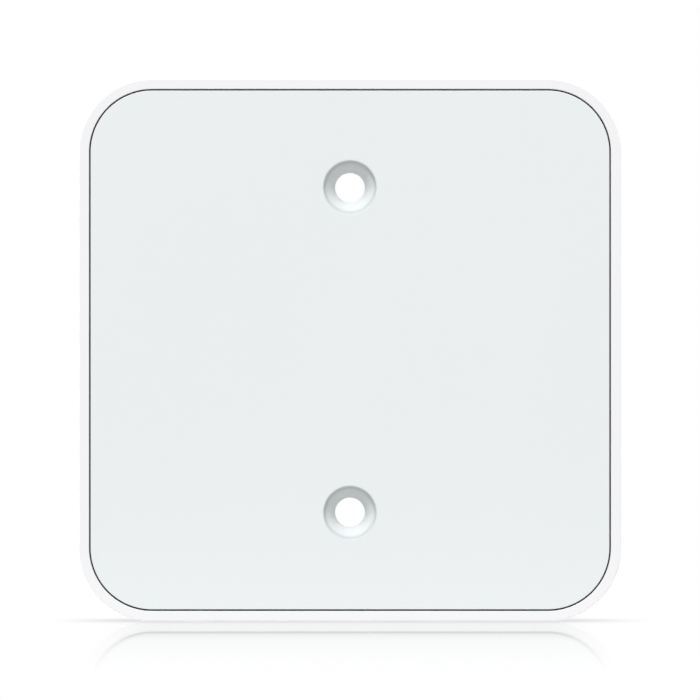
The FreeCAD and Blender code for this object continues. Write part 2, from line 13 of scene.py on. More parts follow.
import bmesh
import bpy
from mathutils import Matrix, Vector


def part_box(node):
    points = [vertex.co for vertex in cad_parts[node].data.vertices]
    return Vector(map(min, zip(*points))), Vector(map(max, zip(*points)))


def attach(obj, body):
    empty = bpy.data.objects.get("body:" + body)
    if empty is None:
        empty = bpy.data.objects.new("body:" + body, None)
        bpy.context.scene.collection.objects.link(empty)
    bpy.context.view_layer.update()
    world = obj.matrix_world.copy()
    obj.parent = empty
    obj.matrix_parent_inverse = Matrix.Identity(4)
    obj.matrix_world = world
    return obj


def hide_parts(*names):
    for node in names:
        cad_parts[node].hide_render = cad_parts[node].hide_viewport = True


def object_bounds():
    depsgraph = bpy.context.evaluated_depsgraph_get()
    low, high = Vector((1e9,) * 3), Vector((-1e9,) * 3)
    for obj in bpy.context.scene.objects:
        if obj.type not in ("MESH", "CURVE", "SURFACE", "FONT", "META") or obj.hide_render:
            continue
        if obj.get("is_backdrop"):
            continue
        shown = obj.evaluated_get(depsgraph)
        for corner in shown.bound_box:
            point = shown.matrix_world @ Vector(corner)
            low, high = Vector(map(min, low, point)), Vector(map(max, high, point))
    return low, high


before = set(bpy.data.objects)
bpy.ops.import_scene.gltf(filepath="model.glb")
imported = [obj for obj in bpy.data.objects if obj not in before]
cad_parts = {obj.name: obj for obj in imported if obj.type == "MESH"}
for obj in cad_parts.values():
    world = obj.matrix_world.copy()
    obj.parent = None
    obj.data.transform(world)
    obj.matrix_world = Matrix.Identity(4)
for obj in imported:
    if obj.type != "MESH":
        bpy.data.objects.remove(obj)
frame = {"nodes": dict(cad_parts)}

MM = 0.001
BODY = "root"
LOG = logging.getLogger("ceiling_mount")

# Turns what a tree lays flat so that it stands in the plate's plane.
UPRIGHT = (math.pi / 2, 0.0, 0.0)
WHITE = (1.0, 1.0, 1.0)
# Corner radius of the plate, and the smallest radius that an inset corner keeps, mm.
PLATE_RADIUS = 13.5
LEAST_RADIUS = 0.01

Point = tuple[float, float]
Colour = tuple[float, float, float]


class Surface(Enum):
    """How the faces of a wall between two outlines are shaded."""

    FLAT = False
    ROUND = True


class Facets(IntEnum):
    """Facets across a quarter-round edge, or a quarter of a corner, by how closely it is seen."""

    INNER = 3
    SMALL = 4
    SOFT = 5
    CELL = 6
    OUTER = 8
    PAD = 12
    PLATE = 24


class Turns(IntEnum):
    """Facets all round a circle."""

    SCREW = 48
    SEAT = 96


# ---------------------------------------------------------------- outlines and solids


@dataclass(frozen=True)
class RoundedRectangle:
    """A rectangle with round corners in the plate's plane.

    Args:
        width: Side to side, along X.
        height: Bottom to top, along Z.
        radius: Corner radius.
        centre: Its middle, as (x, z).
        steps: Facets in each corner.
        support: From a corner's end to the extra point that keeps the shading of the side flat.
    """

    width: float
    height: float
    radius: float
    centre: Point = (0.0, 0.0)
    steps: Facets = Facets.PLATE
    support: float = 0.4

    def points(self, inset: float) -> list[Point]:
        """The outline moved in by a distance, as points that go round anticlockwise.

        Args:
            inset: How far in; the point count stays the same whatever it is.

        Returns:
            The points, with one beside each end of every straight side.
        """
        radius = max(self.radius - inset, LEAST_RADIUS)
        reach = (self.width / 2 - inset - radius, self.height / 2 - inset - radius)
        support = min(self.support, min(reach) / 2)
        made: list[Point] = []
        for quarter in range(4):
            turn = quarter * math.pi / 2
            side = ((1, 1), (-1, 1), (-1, -1), (1, -1))[quarter]
            middle = (self.centre[0] + side[0] * reach[0], self.centre[1] + side[1] * reach[1])
            arc = [
                (middle[0] + radius * math.cos(turn + at), middle[1] + radius * math.sin(turn + at))
                for at in (step * math.pi / 2 / self.steps for step in range(self.steps + 1))
            ]
            before = (math.sin(turn), -math.cos(turn))
            after = (-math.sin(turn + math.pi / 2), math.cos(turn + math.pi / 2))
            first, last = arc[0], arc[-1]
            made.append((first[0] + before[0] * support, first[1] + before[1] * support))
            made.extend(arc)
            made.append((last[0] + after[0] * support, last[1] + after[1] * support))
        return made


@dataclass(frozen=True)
class Ring:
    """A circle in the plate's plane.

    Args:
        radius: Its radius.
        centre: Its middle, as (x, z).
        steps: Facets all round.
    """

    radius: float
    centre: Point = (0.0, 0.0)
    steps: Turns = Turns.SCREW

    def points(self, inset: float) -> list[Point]:
        """The circle made smaller by a distance.

        Args:
            inset: How far in.

        Returns:
            The points, which go round anticlockwise.
        """
        turns = (2 * math.pi * step / self.steps for step in range(self.steps))
        radius = self.radius - inset
        return [(self.centre[0] + radius * math.cos(a), self.centre[1] + radius * math.sin(a)) for a in turns]


@dataclass(frozen=True)
class Cross:
    """A cross with tapered arms, as a driver's recess has.

    Args:
        reach: Half of its length, end to end.
        arm: Half of an arm's width.
        end_taper: How fast the arms get shorter as the cross is inset.
        side_taper: How fast they get narrower.
        throat: Where two arms meet, as a multiple of half of their width.
    """

    reach: float
    arm: float
    end_taper: float = 1.6
    side_taper: float = 0.35
    throat: float = 1.5

    def points(self, inset: float) -> list[Point]:
        """The cross made smaller.

        Args:
            inset: How far in.

        Returns:
            The points, which go round anticlockwise.
        """
        reach, arm = self.reach - inset * self.end_taper, self.arm - inset * self.side_taper
        quarter = [(reach, -arm), (reach, arm), (arm * self.throat, arm * self.throat)]
        turns = ((1, 0), (0, 1), (-1, 0), (0, -1))
        return [(x * cos - z * sin, x * sin + z * cos) for cos, sin in turns for x, z in quarter]


Outline = RoundedRectangle | Ring | Cross


@dataclass(frozen=True)
class Step:
    """One outline of a traced wall.

    Args:
        inset: How far in from the outline that is followed.
        depth: From the wall plane towards the front.
        surface: How the wall that leads to it is shaded.
    """

    inset: float
    depth: float
    surface: Surface = Surface.FLAT


def rounding(start: Point, end: Point, bulge: Point, steps: Facets = Facets.SOFT) -> list[Step]:
    """The steps of a quarter-round edge.

    Args:
        start: Inset and depth where the edge begins; it isn't repeated in the result.
        end: Inset and depth where it ends.
        bulge: Inset and depth of the sharp corner that the edge replaces.
        steps: Facets across the edge.

    Returns:
        The steps after the start, all shaded round.
    """
    made = []
    for count in range(1, steps + 1):
        a = count / steps * math.pi / 2
        centre = (start[0] + end[0] - bulge[0], start[1] + end[1] - bulge[1])
        inset, depth = (
            centre[i] + (start[i] - centre[i]) * math.cos(a) + (end[i] - centre[i]) * math.sin(a)
            for i in range(2)
        )
        made.append(Step(inset, depth, Surface.ROUND))
    return made


Loop = list[bmesh.types.BMVert]


class Solid:
    """A closed solid made of walls between outlines and of flat skins with holes."""

    def __init__(self, name: str) -> None:
        """Starts an empty solid with the name of its piece."""
        self.name = name
        self.mesh = bmesh.new()

    def loop(self, outline: Outline, inset: float, depth: float) -> Loop:
        """The vertices of an outline at a depth."""
        return [self.mesh.verts.new((x * MM, -depth * MM, z * MM)) for x, z in outline.points(inset)]

    def wall(self, first: Loop, second: Loop, surface: Surface) -> None:
        """Joins two loops of the same count with quads.

        Args:
            first: One loop.
            second: The other.
            surface: How the quads are shaded.
        """
        for i, vertex in enumerate(first):
            after = (i + 1) % len(first)
            face = self.mesh.faces.new((vertex, first[after], second[after], second[i]))
            face.smooth = surface.value

    def trace(self, outline: Outline, steps: Sequence[Step]) -> tuple[Loop, Loop]:
        """Walls that follow an outline through several steps.

        Args:
            outline: What is followed.
            steps: Insets and depths, in order.

        Returns:
            The first and the last loop.
        """
        first = self.loop(outline, steps[0].inset, steps[0].depth)
        last = first
        for step in steps[1:]:
            following = self.loop(outline, step.inset, step.depth)
            self.wall(last, following, step.surface)
            last = following
        return first, last

    def skin(self, rim: Loop, holes: Iterable[Loop] = ()) -> None:
        """Fills a flat face.

        Args:
            rim: The loop round it.
            holes: Loops inside it that are left open.
        """
        edges = []
        for loop in (rim, *holes):
            for i, vertex in enumerate(loop):
                ends = (vertex, loop[(i + 1) % len(loop)])
                edges.append(self.mesh.edges.get(ends) or self.mesh.edges.new(ends))
        made = bmesh.ops.triangle_fill(self.mesh, use_beauty=True, use_dissolve=False, edges=edges)
        for item in made["geom"]:
            if isinstance(item, bmesh.types.BMFace):
                item.smooth = False

    def finish(self, material: bpy.types.Material) -> bpy.types.Object:
        """Closes the solid and makes it an object.

        Args:
            material: Its finish.

        Returns:
            The object, at the origin, with its place in its mesh.
        """
        bmesh.ops.recalc_face_normals(self.mesh, faces=self.mesh.faces)
        open_edges = sum(1 for edge in self.mesh.edges if len(edge.link_faces) != 2)
        if open_edges:
            raise RuntimeError(f"{self.name} has {open_edges} open edges")
        data = bpy.data.meshes.new(self.name)
        self.mesh.to_mesh(data)
        self.mesh.free()
        data.materials.append(material)
        made = bpy.data.objects.new(self.name, data)
        bpy.context.scene.collection.objects.link(made)
        return made

    def mesh_only(self, material: bpy.types.Material) -> bpy.types.Mesh:
        """Closes the solid and gives its mesh, for a tree to use.

        Args:
            material: Its finish.

        Returns:
            The mesh, which no object has.
        """
        made = self.finish(material)
        data = made.data
        bpy.data.objects.remove(made)
        return data


def settle(piece: bpy.types.Object, slot: str, *nodes: str) -> None:
    """Attaches a finished piece to the body and hides the CAD nodes that it stands for.

    Args:
        piece: The piece.
        slot: A material slot's name; not used.
        nodes: The CAD nodes that it stands for.
    """
    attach(piece, BODY)
    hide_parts(*nodes)
    LOG.info("%s stands for %s with %d faces", piece.name, ", ".join(nodes), len(piece.data.polygons))


# ---------------------------------------------------------------- node trees


class Wire:
    """A socket whose arithmetic adds Math nodes to its tree."""

    def __init__(self, graph: "Graph", socket: bpy.types.NodeSocket) -> None:
        """Wraps an output socket of a graph."""
        self.graph = graph
        self.socket = socket

    def _math(self, operation: str, *values: Any) -> "Wire":
        """A Math node of an operation on wires or numbers."""
        return self.graph.add("ShaderNodeMath", {"operation": operation}, dict(enumerate(values)))

    def __add__(self, other: Any) -> "Wire":
        """The sum."""
        return self._math("ADD", self, other)

    def __sub__(self, other: Any) -> "Wire":
        """The difference."""
        return self._math("SUBTRACT", self, other)

    def __rsub__(self, other: Any) -> "Wire":
        """The difference, from the right."""
        return self._math("SUBTRACT", other, self)

    def __mul__(self, other: Any) -> "Wire":
        """The product."""
        return self._math("MULTIPLY", self, other)

    def __truediv__(self, other: Any) -> "Wire":
        """The quotient."""
        return self._math("DIVIDE", self, other)

    def __rtruediv__(self, other: Any) -> "Wire":
        """The quotient, from the right."""
        return self._math("DIVIDE", other, self)

    __radd__ = __add__
    __rmul__ = __mul__

    def power(self, exponent: float) -> "Wire":
        """This to a power."""
        return self._math("POWER", self, exponent)

    def size(self) -> "Wire":
        """The absolute value."""
        return self._math("ABSOLUTE", self)

    def at_least(self, other: Any) -> "Wire":
        """The larger of this and another."""
        return self._math("MAXIMUM", self, other)

    def exponential(self) -> "Wire":
        """The exponential function of this."""
        return self._math("EXPONENT", self)

    def joined(self, other: "Wire", share: float) -> "Wire":
        """This and a share of another, which add up to one."""
        return self * (1.0 - share) + other * share

    def ramp(self, low: float, high: float, out_low: float = 0.0, out_high: float = 1.0) -> "Wire":
        """A smooth step from one value to another.

        Args:
            low: Where it starts, on this wire.
            high: Where it ends.
            out_low: The value up to low.
            out_high: The value from high on.

        Returns:
            The stepped value.
        """
        settings = {"interpolation_type": "SMOOTHSTEP"}
        values = {"Value": self, "From Min": low, "From Max": high, "To Min": out_low, "To Max": out_high}
        return self.graph.add("ShaderNodeMapRange", settings, values)


class Graph:
    """A node tree and one way to add to it."""

    def __init__(self, tree: bpy.types.NodeTree) -> None:
        """Empties a tree and wraps it."""
        self.tree = tree
        tree.nodes.clear()

    def node(self, kind: str, settings: dict[str, Any], values: dict[Any, Any]) -> bpy.types.Node:
        """Adds a node.

        Args:
            kind: The node's type.
            settings: Its properties, set first.
            values: Numbers, colours, objects or wires for its inputs, by name or index.

        Returns:
            The node.
        """
        made = self.tree.nodes.new(kind)
        for key, setting in settings.items():
            setattr(made, key, setting)
        for key, value in values.items():
            if isinstance(value, Wire):
                self.tree.links.new(value.socket, made.inputs[key])
            else:
                made.inputs[key].default_value = value
        return made

    def add(self, kind: str, settings: dict[str, Any], values: dict[Any, Any], output: Any = 0) -> Wire:
        """Adds a node and gives one of its outputs, by name or index."""
        return Wire(self, self.node(kind, settings, values).outputs[output])

    def blend(self, factor: Any, first: Any, second: Any) -> Wire:
        """A colour between two colours."""
        node = self.node("ShaderNodeMix", {"data_type": "RGBA"}, {0: factor, 6: first, 7: second})
        return Wire(self, node.outputs[2])

    def place(self) -> Wire:
        """The point in the piece's own coordinates, in metres."""
        return self.add("ShaderNodeTexCoord", {}, {}, "Object")

    def noise(self, size_mm: float, detail: float = 2.0, stretch: Colour = (1.0, 1.0, 1.0)) -> Wire:
        """Noise from 0 to 1.

        Args:
            size_mm: About how wide a blob is.
            detail: How many finer layers it has.
            stretch: How much longer a blob is along each axis.

        Returns:
            The noise.
        """
        scale = tuple(1.0 / part for part in stretch)
        where = self.add("ShaderNodeMapping", {}, {"Vector": self.place(), "Scale": scale})
        values = {"Vector": where, "Scale": 1.0 / (size_mm * MM), "Detail": detail}
        return self.add("ShaderNodeTexNoise", {}, values, "Fac")


def opaque(colour: Colour) -> tuple[float, float, float, float]:
    """A colour with full alpha."""
    return (*colour, 1.0)


# ---------------------------------------------------------------- sizes


@dataclass(frozen=True)
class Depths:
    """Depths of the plate's layers from the wall plane.

    Args:
        floor_back: The tray's floor, on the wall side.
        floor_front: The tray's floor, inside.
        cup_back: Where the panel's cups stand on the tray's posts.
        cone_bottom: The small end of a seat's countersink.
        ledge: The ledge under the panel's edge.
        panel_back: The panel's back.
        seat: The mouth of a seat's countersink.
        face: The panel's face and the rim's front.
    """

    floor_back: float = 0.5
    floor_front: float = 2.0
    cup_back: float = 3.9
    cone_bottom: float = 4.7
    ledge: float = 6.05
    panel_back: float = 6.25
    seat: float = 6.6
    face: float = 7.5


@dataclass(frozen=True)
class SeamSizes:
    """What follows the plate's outline, as distances in from it.

    Args:
        rim: Wall of the rim, up to the seam.
        gap: The seam between the rim and the panel.
        ledge: Width of the ledge under the panel's edge.
        tape_clearance: From the rim to the tape.
        tape_setback: From the tape to the ledge's inner edge.
    """

    rim: float = 1.89
    gap: float = 0.3
    ledge: float = 1.5
    tape_clearance: float = 0.05
    tape_setback: float = 0.15


@dataclass(frozen=True)
class SeatSizes:
    """The two screw seats.

    Args:
        spacing: Centre to centre, along Z.
        bore: Radius of the through hole.
        cone: Radius of the countersink at its mouth.
        lip: Outer radius of the flat lip around the countersink.
        edge: Radius of the rounding around the sunken seat.
        post: Outer radius of the panel's cup and of the tray's post behind it.
        foot: Outer radius of the ring that meets the wall.
    """

    spacing: float = 60.0
    bore: float = 2.75
    cone: float = 4.65
    lip: float = 4.72
    edge: float = 0.4
    post: float = 6.4
    foot: float = 6.0

    def centres(self) -> list[Point]:
        """The middles of the two seats, as (x, z)."""
        return [(0.0, self.spacing / 2), (0.0, -self.spacing / 2)]


@dataclass(frozen=True)
class CellGrid:
    """A square grid of equal pockets.

    Args:
        width: The whole grid, along X.
        height: The whole grid, along Z.
        wall: Between two pockets.
        count: Pockets along each side.
        radius: A pocket's corners.
    """

    width: float
    height: float
    wall: float
    count: int
    radius: float

    def cells(self) -> list[RoundedRectangle]:
        """Lays out the grid.

        Returns:
            The outline of each pocket.
        """
        size = [(span - (self.count - 1) * self.wall) / self.count for span in (self.width, self.height)]
        pitch = [side + self.wall for side in size]
        places = [i - (self.count - 1) / 2 for i in range(self.count)]
        return [
            RoundedRectangle(*size, self.radius, (x * pitch[0], z * pitch[1]), Facets.CELL)
            for x in places
            for z in places
        ]


# ---------------------------------------------------------------- finishes


@dataclass(frozen=True)
class Finish:
    """A procedural finish: a graph that ends in a Principled surface.

    Args:
        name: The material's name.
        colour: Its base colour, linear.
        roughness: Its middle roughness.
    """

    name: str
    colour: Colour
    roughness: float

    def material(self) -> bpy.types.Material:
        """Builds the material.

        Returns:
            The material.
        """
        made = bpy.data.materials.new(self.name)
        made.use_nodes = True
        made.diffuse_color = opaque(self.colour)
        graph = Graph(made.node_tree)
        surface = graph.node("ShaderNodeBsdfPrincipled", {}, {})
        self.dress(graph, surface)
        graph.node("ShaderNodeOutputMaterial", {}, {"Surface": Wire(graph, surface.outputs[0])})
        return made

    def dress(self, graph: Graph, surface: bpy.types.Node) -> None:
        """Connects what varies over the surface."""
        raise NotImplementedError

    def vary(
        self,
        graph: Graph,
        surface: bpy.types.Node,
        tone: Wire,
        spread: float,
        rough: Wire,
        rough_spread: float,
    ) -> None:
        """Lets the colour and the roughness drift about their middles.

        Args:
            graph: The material's graph.
            surface: Its Principled node.
            tone: What drives the colour, from 0 to 1.
            spread: How much darker and lighter the colour gets, as a share.
            rough: What drives the roughness, from 0 to 1.
            rough_spread: How far the roughness leaves its middle.
        """
        dark = opaque(tuple(part * (1 - spread) for part in self.colour))
        light = opaque(tuple(min(part * (1 + spread), 1.0) for part in self.colour))
        colour = self.tint(graph, graph.blend(tone, dark, light))
        graph.tree.links.new(colour.socket, surface.inputs["Base Color"])
        roughness = rough * (2 * rough_spread) + (self.roughness - rough_spread)
        graph.tree.links.new(roughness.socket, surface.inputs["Roughness"])

    def tint(self, graph: Graph, colour: Wire) -> Wire:
        """A last change to the colour; none here."""
        return colour

    def emboss(self, graph: Graph, surface: bpy.types.Node, height: Wire, depth_mm: float) -> None:
        """Gives the surface a relief.

        Args:
            graph: The material's graph.
            surface: Its Principled node.
            height: The relief, from 0 to 1.
            depth_mm: What a height of 1 stands for.
        """
        values = {"Height": height, "Distance": depth_mm * MM, "Strength": 1.0}
        bump = graph.add("ShaderNodeBump", {}, values, "Normal")
        graph.tree.links.new(bump.socket, surface.inputs["Normal"])


@dataclass(frozen=True)
class MouldedPlastic(Finish):
    """Injection-moulded plastic with a spark-eroded texture and the faint flow of the melt.

    Args:
        grain_mm: Width of a grain of the texture.
        grain_depth_mm: Depth of the texture.
        flow_mm: Width of a streak of the melt.
        flow_stretch: How much longer a streak is along each axis.
        speck_mm: Width of a speck of pigment.
        speck_share: Share of the specks in the tone; the rest is flow.
        flow_share: Share of the flow in the gloss; the rest is grain.
        flow_relief: Height of the flow's waves against the grain's.
        spread: How far the tone drifts, as a share.
        rough_spread: How far the roughness leaves its middle.
        index: Refractive index.
        specular: Strength of the clear reflection.
    """

    grain_mm: float = 0.16
    grain_depth_mm: float = 0.0012
    flow_mm: float = 22.0
    flow_stretch: Colour = (1.0, 1.0, 2.2)
    speck_mm: float = 0.6
    speck_share: float = 0.2
    flow_share: float = 0.4
    flow_relief: float = 0.5
    spread: float = 0.008
    rough_spread: float = 0.05
    index: float = 1.49
    specular: float = 0.5

    def dress(self, graph: Graph, surface: bpy.types.Node) -> None:
        """A fine even grain over slow changes of tone and gloss.

        Args:
            graph: The material's graph.
            surface: Its Principled node.
        """
        surface.inputs["Specular IOR Level"].default_value = self.specular
        surface.inputs["IOR"].default_value = self.index
        flow = graph.noise(self.flow_mm, detail=3.0, stretch=self.flow_stretch)
        speck = graph.noise(self.speck_mm, detail=1.0)
        grain = graph.noise(self.grain_mm)
        tone, gloss = flow.joined(speck, self.speck_share), grain.joined(flow, self.flow_share)
        self.vary(graph, surface, tone, self.spread, gloss, self.rough_spread)
        self.emboss(graph, surface, grain + flow * self.flow_relief, self.grain_depth_mm)


@dataclass(frozen=True)
class PanelPlasticWithPaintedSeatShade(MouldedPlastic):
    """Moulded plastic with painted shade in its sunken screw seats: greyer than the panel, and darker out
    towards each countersink's mouth and on the rounding around it.

    Args:
        seats: Where the seats are, and how wide.
        bore_shade_colour: Painted shade colour of a seat at its bore.
        rim: Darker painted shade colour at the countersink's mouth and on the wall around it.
        shoulder: Radius where the cone's painted shade starts to darken into the rim's, mm.
        fade_from: How far across the rounding the rim's painted shade stays whole, as a share.
    """

    seats: SeatSizes = SeatSizes()
    # Painted shade: the seats' colours, grey at the bore and darker at the countersink's mouth.
    bore_shade_colour: Colour = (0.738, 0.768, 0.775)
    rim: Colour = (0.625, 0.651, 0.658)
    shoulder: float = 4.15
    fade_from: float = 0.3

    def tint(self, graph: Graph, colour: Wire) -> Wire:
        """Paints shade on the cone, the lip and the rounding of each seat.

        Args:
            graph: The material's graph.
            colour: The colour away from the seats.

        Returns:
            The colour with the painted shade of the seats in it.
        """
        axes = graph.node("ShaderNodeSeparateXYZ", {}, {"Vector": graph.place()})
        across = Wire(graph, axes.outputs["X"])
        up = Wire(graph, axes.outputs["Z"]).size() - self.seats.spacing / 2 * MM
        radius = (across * across + up * up).power(0.5)
        lip, edge = self.seats.lip * MM, self.seats.edge * MM
        # Painted shade, deepening from the bore out to the countersink's mouth.
        seat = graph.blend(radius.ramp(self.shoulder * MM, lip), opaque(self.bore_shade_colour), opaque(self.rim))
        # The painted shade also covers the lip and part of the rounding around each seat.
        outside = radius.ramp(lip + edge * self.fade_from, lip + edge, 1.0, 0.0)
        return graph.blend(outside, colour, seat)


@dataclass(frozen=True)
class FoamTape(Finish):
    """Black adhesive foam tape with open cells at its cut edge.

    Args:
        cell_mm: Width of a cell.
        cell_depth_mm: Depth of a cell.
        spread: How far the tone drifts, as a share.
        rough_spread: How far the roughness leaves its middle.
    """

    cell_mm: float = 0.12
    cell_depth_mm: float = 0.02
    spread: float = 0.3
    rough_spread: float = 0.06

    def dress(self, graph: Graph, surface: bpy.types.Node) -> None:
        """Small soft cells.

        Args:
            graph: The material's graph.
            surface: Its Principled node.
        """
        cells = graph.noise(self.cell_mm, detail=1.0)
        self.vary(graph, surface, cells, self.spread, cells, self.rough_spread)
        self.emboss(graph, surface, cells, self.cell_depth_mm)


@dataclass(frozen=True)
class GripRubber(Finish):
    """Soft silicone rubber with a fine stipple and a trace of dust.

    Args:
        stipple_mm: Width of a dot of the stipple.
        stipple_depth_mm: Depth of the stipple.
        scatter: How unevenly the dots lie, from 0 to 1.
        dust_mm: Width of a patch of dust.
        dust_power: How sharply the patches stand out.
        dust_gain: How much of the tone's drift they take up.
        spread: How far the tone drifts, as a share.
        rough_spread: How far the roughness leaves its middle.
    """

    stipple_mm: float = 0.35
    stipple_depth_mm: float = 0.015
    scatter: float = 0.85
    dust_mm: float = 3.0
    dust_power: float = 3.0
    dust_gain: float = 2.0
    spread: float = 0.35
    rough_spread: float = 0.08

    def dress(self, graph: Graph, surface: bpy.types.Node) -> None:
        """Stipple in the relief, and dust that lifts the colour in patches.

        Args:
            graph: The material's graph.
            surface: Its Principled node.
        """
        values = {"Vector": graph.place(), "Scale": 1.0 / (self.stipple_mm * MM), "Randomness": self.scatter}
        stipple = graph.add("ShaderNodeTexVoronoi", {"feature": "SMOOTH_F1"}, values, "Distance")
        dust = graph.noise(self.dust_mm, detail=4.0).power(self.dust_power)
        self.vary(graph, surface, dust * self.dust_gain, self.spread, stipple, self.rough_spread)
        self.emboss(graph, surface, stipple, self.stipple_depth_mm)


@dataclass(frozen=True)
class ZincSpangle(Finish):
    """Hot-dip galvanised sheet: crystals that differ in tone and gloss.

    Args:
        crystal_mm: Width of a crystal.
        frost_mm: Width of a grain of the frost.
        frost_depth_mm: Depth of the frost.
        frost_tone: Share of the frost in the tone.
        frost_gloss: Share of the frost in the gloss.
        spread: How far the tone drifts, as a share.
        rough_spread: How far the roughness leaves its middle.
    """

    crystal_mm: float = 3.2
    frost_mm: float = 0.25
    frost_depth_mm: float = 0.003
    frost_tone: float = 0.2
    frost_gloss: float = 0.5
    spread: float = 0.12
    rough_spread: float = 0.14

    def dress(self, graph: Graph, surface: bpy.types.Node) -> None:
        """One tone for each crystal, with fine frost over all.

        Args:
            graph: The material's graph.
            surface: Its Principled node.
        """
        surface.inputs["Metallic"].default_value = 1.0
        values = {"Vector": graph.place(), "Scale": 1.0 / (self.crystal_mm * MM)}
        crystal = graph.add("ShaderNodeTexVoronoi", {"feature": "F1"}, values, "Color")
        tone = graph.add("ShaderNodeSeparateColor", {}, {"Color": crystal}, "Red")
        frost = graph.noise(self.frost_mm, detail=3.0)
        frosted, gloss = tone.joined(frost, self.frost_tone), tone.joined(frost, self.frost_gloss)
        self.vary(graph, surface, frosted, self.spread, gloss, self.rough_spread)
        self.emboss(graph, surface, frost, self.frost_depth_mm)


@dataclass(frozen=True)
class PlatedMetal(Finish):
    """Bright plating with hairline scratches along one direction.

    Args:
        hairline_mm: Width of a hairline.
        hairline_depth_mm: Depth of a hairline.
        hairline_stretch: How much longer a hairline is along each axis.
        drift_mm: Width of a patch of one tone.
        drift_share: Share of the patches in the gloss; the rest is hairlines.
        spread: How far the tone drifts, as a share.
        rough_spread: How far the roughness leaves its middle.
    """

    hairline_mm: float = 0.05
    hairline_depth_mm: float = 0.0008
    hairline_stretch: Colour = (30.0, 1.0, 1.0)
    drift_mm: float = 2.5
    drift_share: float = 0.4
    spread: float = 0.05
    rough_spread: float = 0.08

    def dress(self, graph: Graph, surface: bpy.types.Node) -> None:
        """Hairlines in the gloss and the relief, and a slow drift of tone.

        Args:
            graph: The material's graph.
            surface: Its Principled node.
        """
        surface.inputs["Metallic"].default_value = 1.0
        hairlines = graph.noise(self.hairline_mm, stretch=self.hairline_stretch)
        drift = graph.noise(self.drift_mm, detail=3.0)
        gloss = hairlines.joined(drift, self.drift_share)
        self.vary(graph, surface, drift, self.spread, gloss, self.rough_spread)
        self.emboss(graph, surface, hairlines, self.hairline_depth_mm)


class Finishes:
    """The finishes of the mount, each built once."""

    def __init__(self) -> None:
        """Builds them all."""
        white, cool_white = (0.876, 0.876, 0.888), (0.806, 0.838, 0.846)
        carrier_black, tape_black = (0.022, 0.022, 0.024), (0.012, 0.012, 0.013)
        rubber_grey, sheet_grey = (0.045, 0.046, 0.048), (0.56, 0.575, 0.59)
        nickel, zinc = (0.66, 0.61, 0.53), (0.60, 0.61, 0.62)
        self.tray = MouldedPlastic("white_tray_plastic", white, roughness=0.46).material()
        # The panel's finish paints shade into its two screw seats.
        self.panel = PanelPlasticWithPaintedSeatShade("cool_white_panel_plastic", cool_white, roughness=0.42).material()
        carrier = MouldedPlastic("black_carrier_plastic", carrier_black, roughness=0.5, grain_mm=0.3)
        self.carrier = carrier.material()
        self.tape = FoamTape("black_foam_tape", tape_black, roughness=0.85).material()
        self.rubber = GripRubber("grey_grip_rubber", rubber_grey, roughness=0.72).material()
        self.yoke = ZincSpangle("galvanised_sheet", sheet_grey, roughness=0.38).material()
        self.nickel = PlatedMetal("bright_nickel", nickel, roughness=0.16).material()
        self.zinc = PlatedMetal("zinc_plated_steel", zinc, roughness=0.30, spread=0.09).material()


# ---------------------------------------------------------------- the mouldings


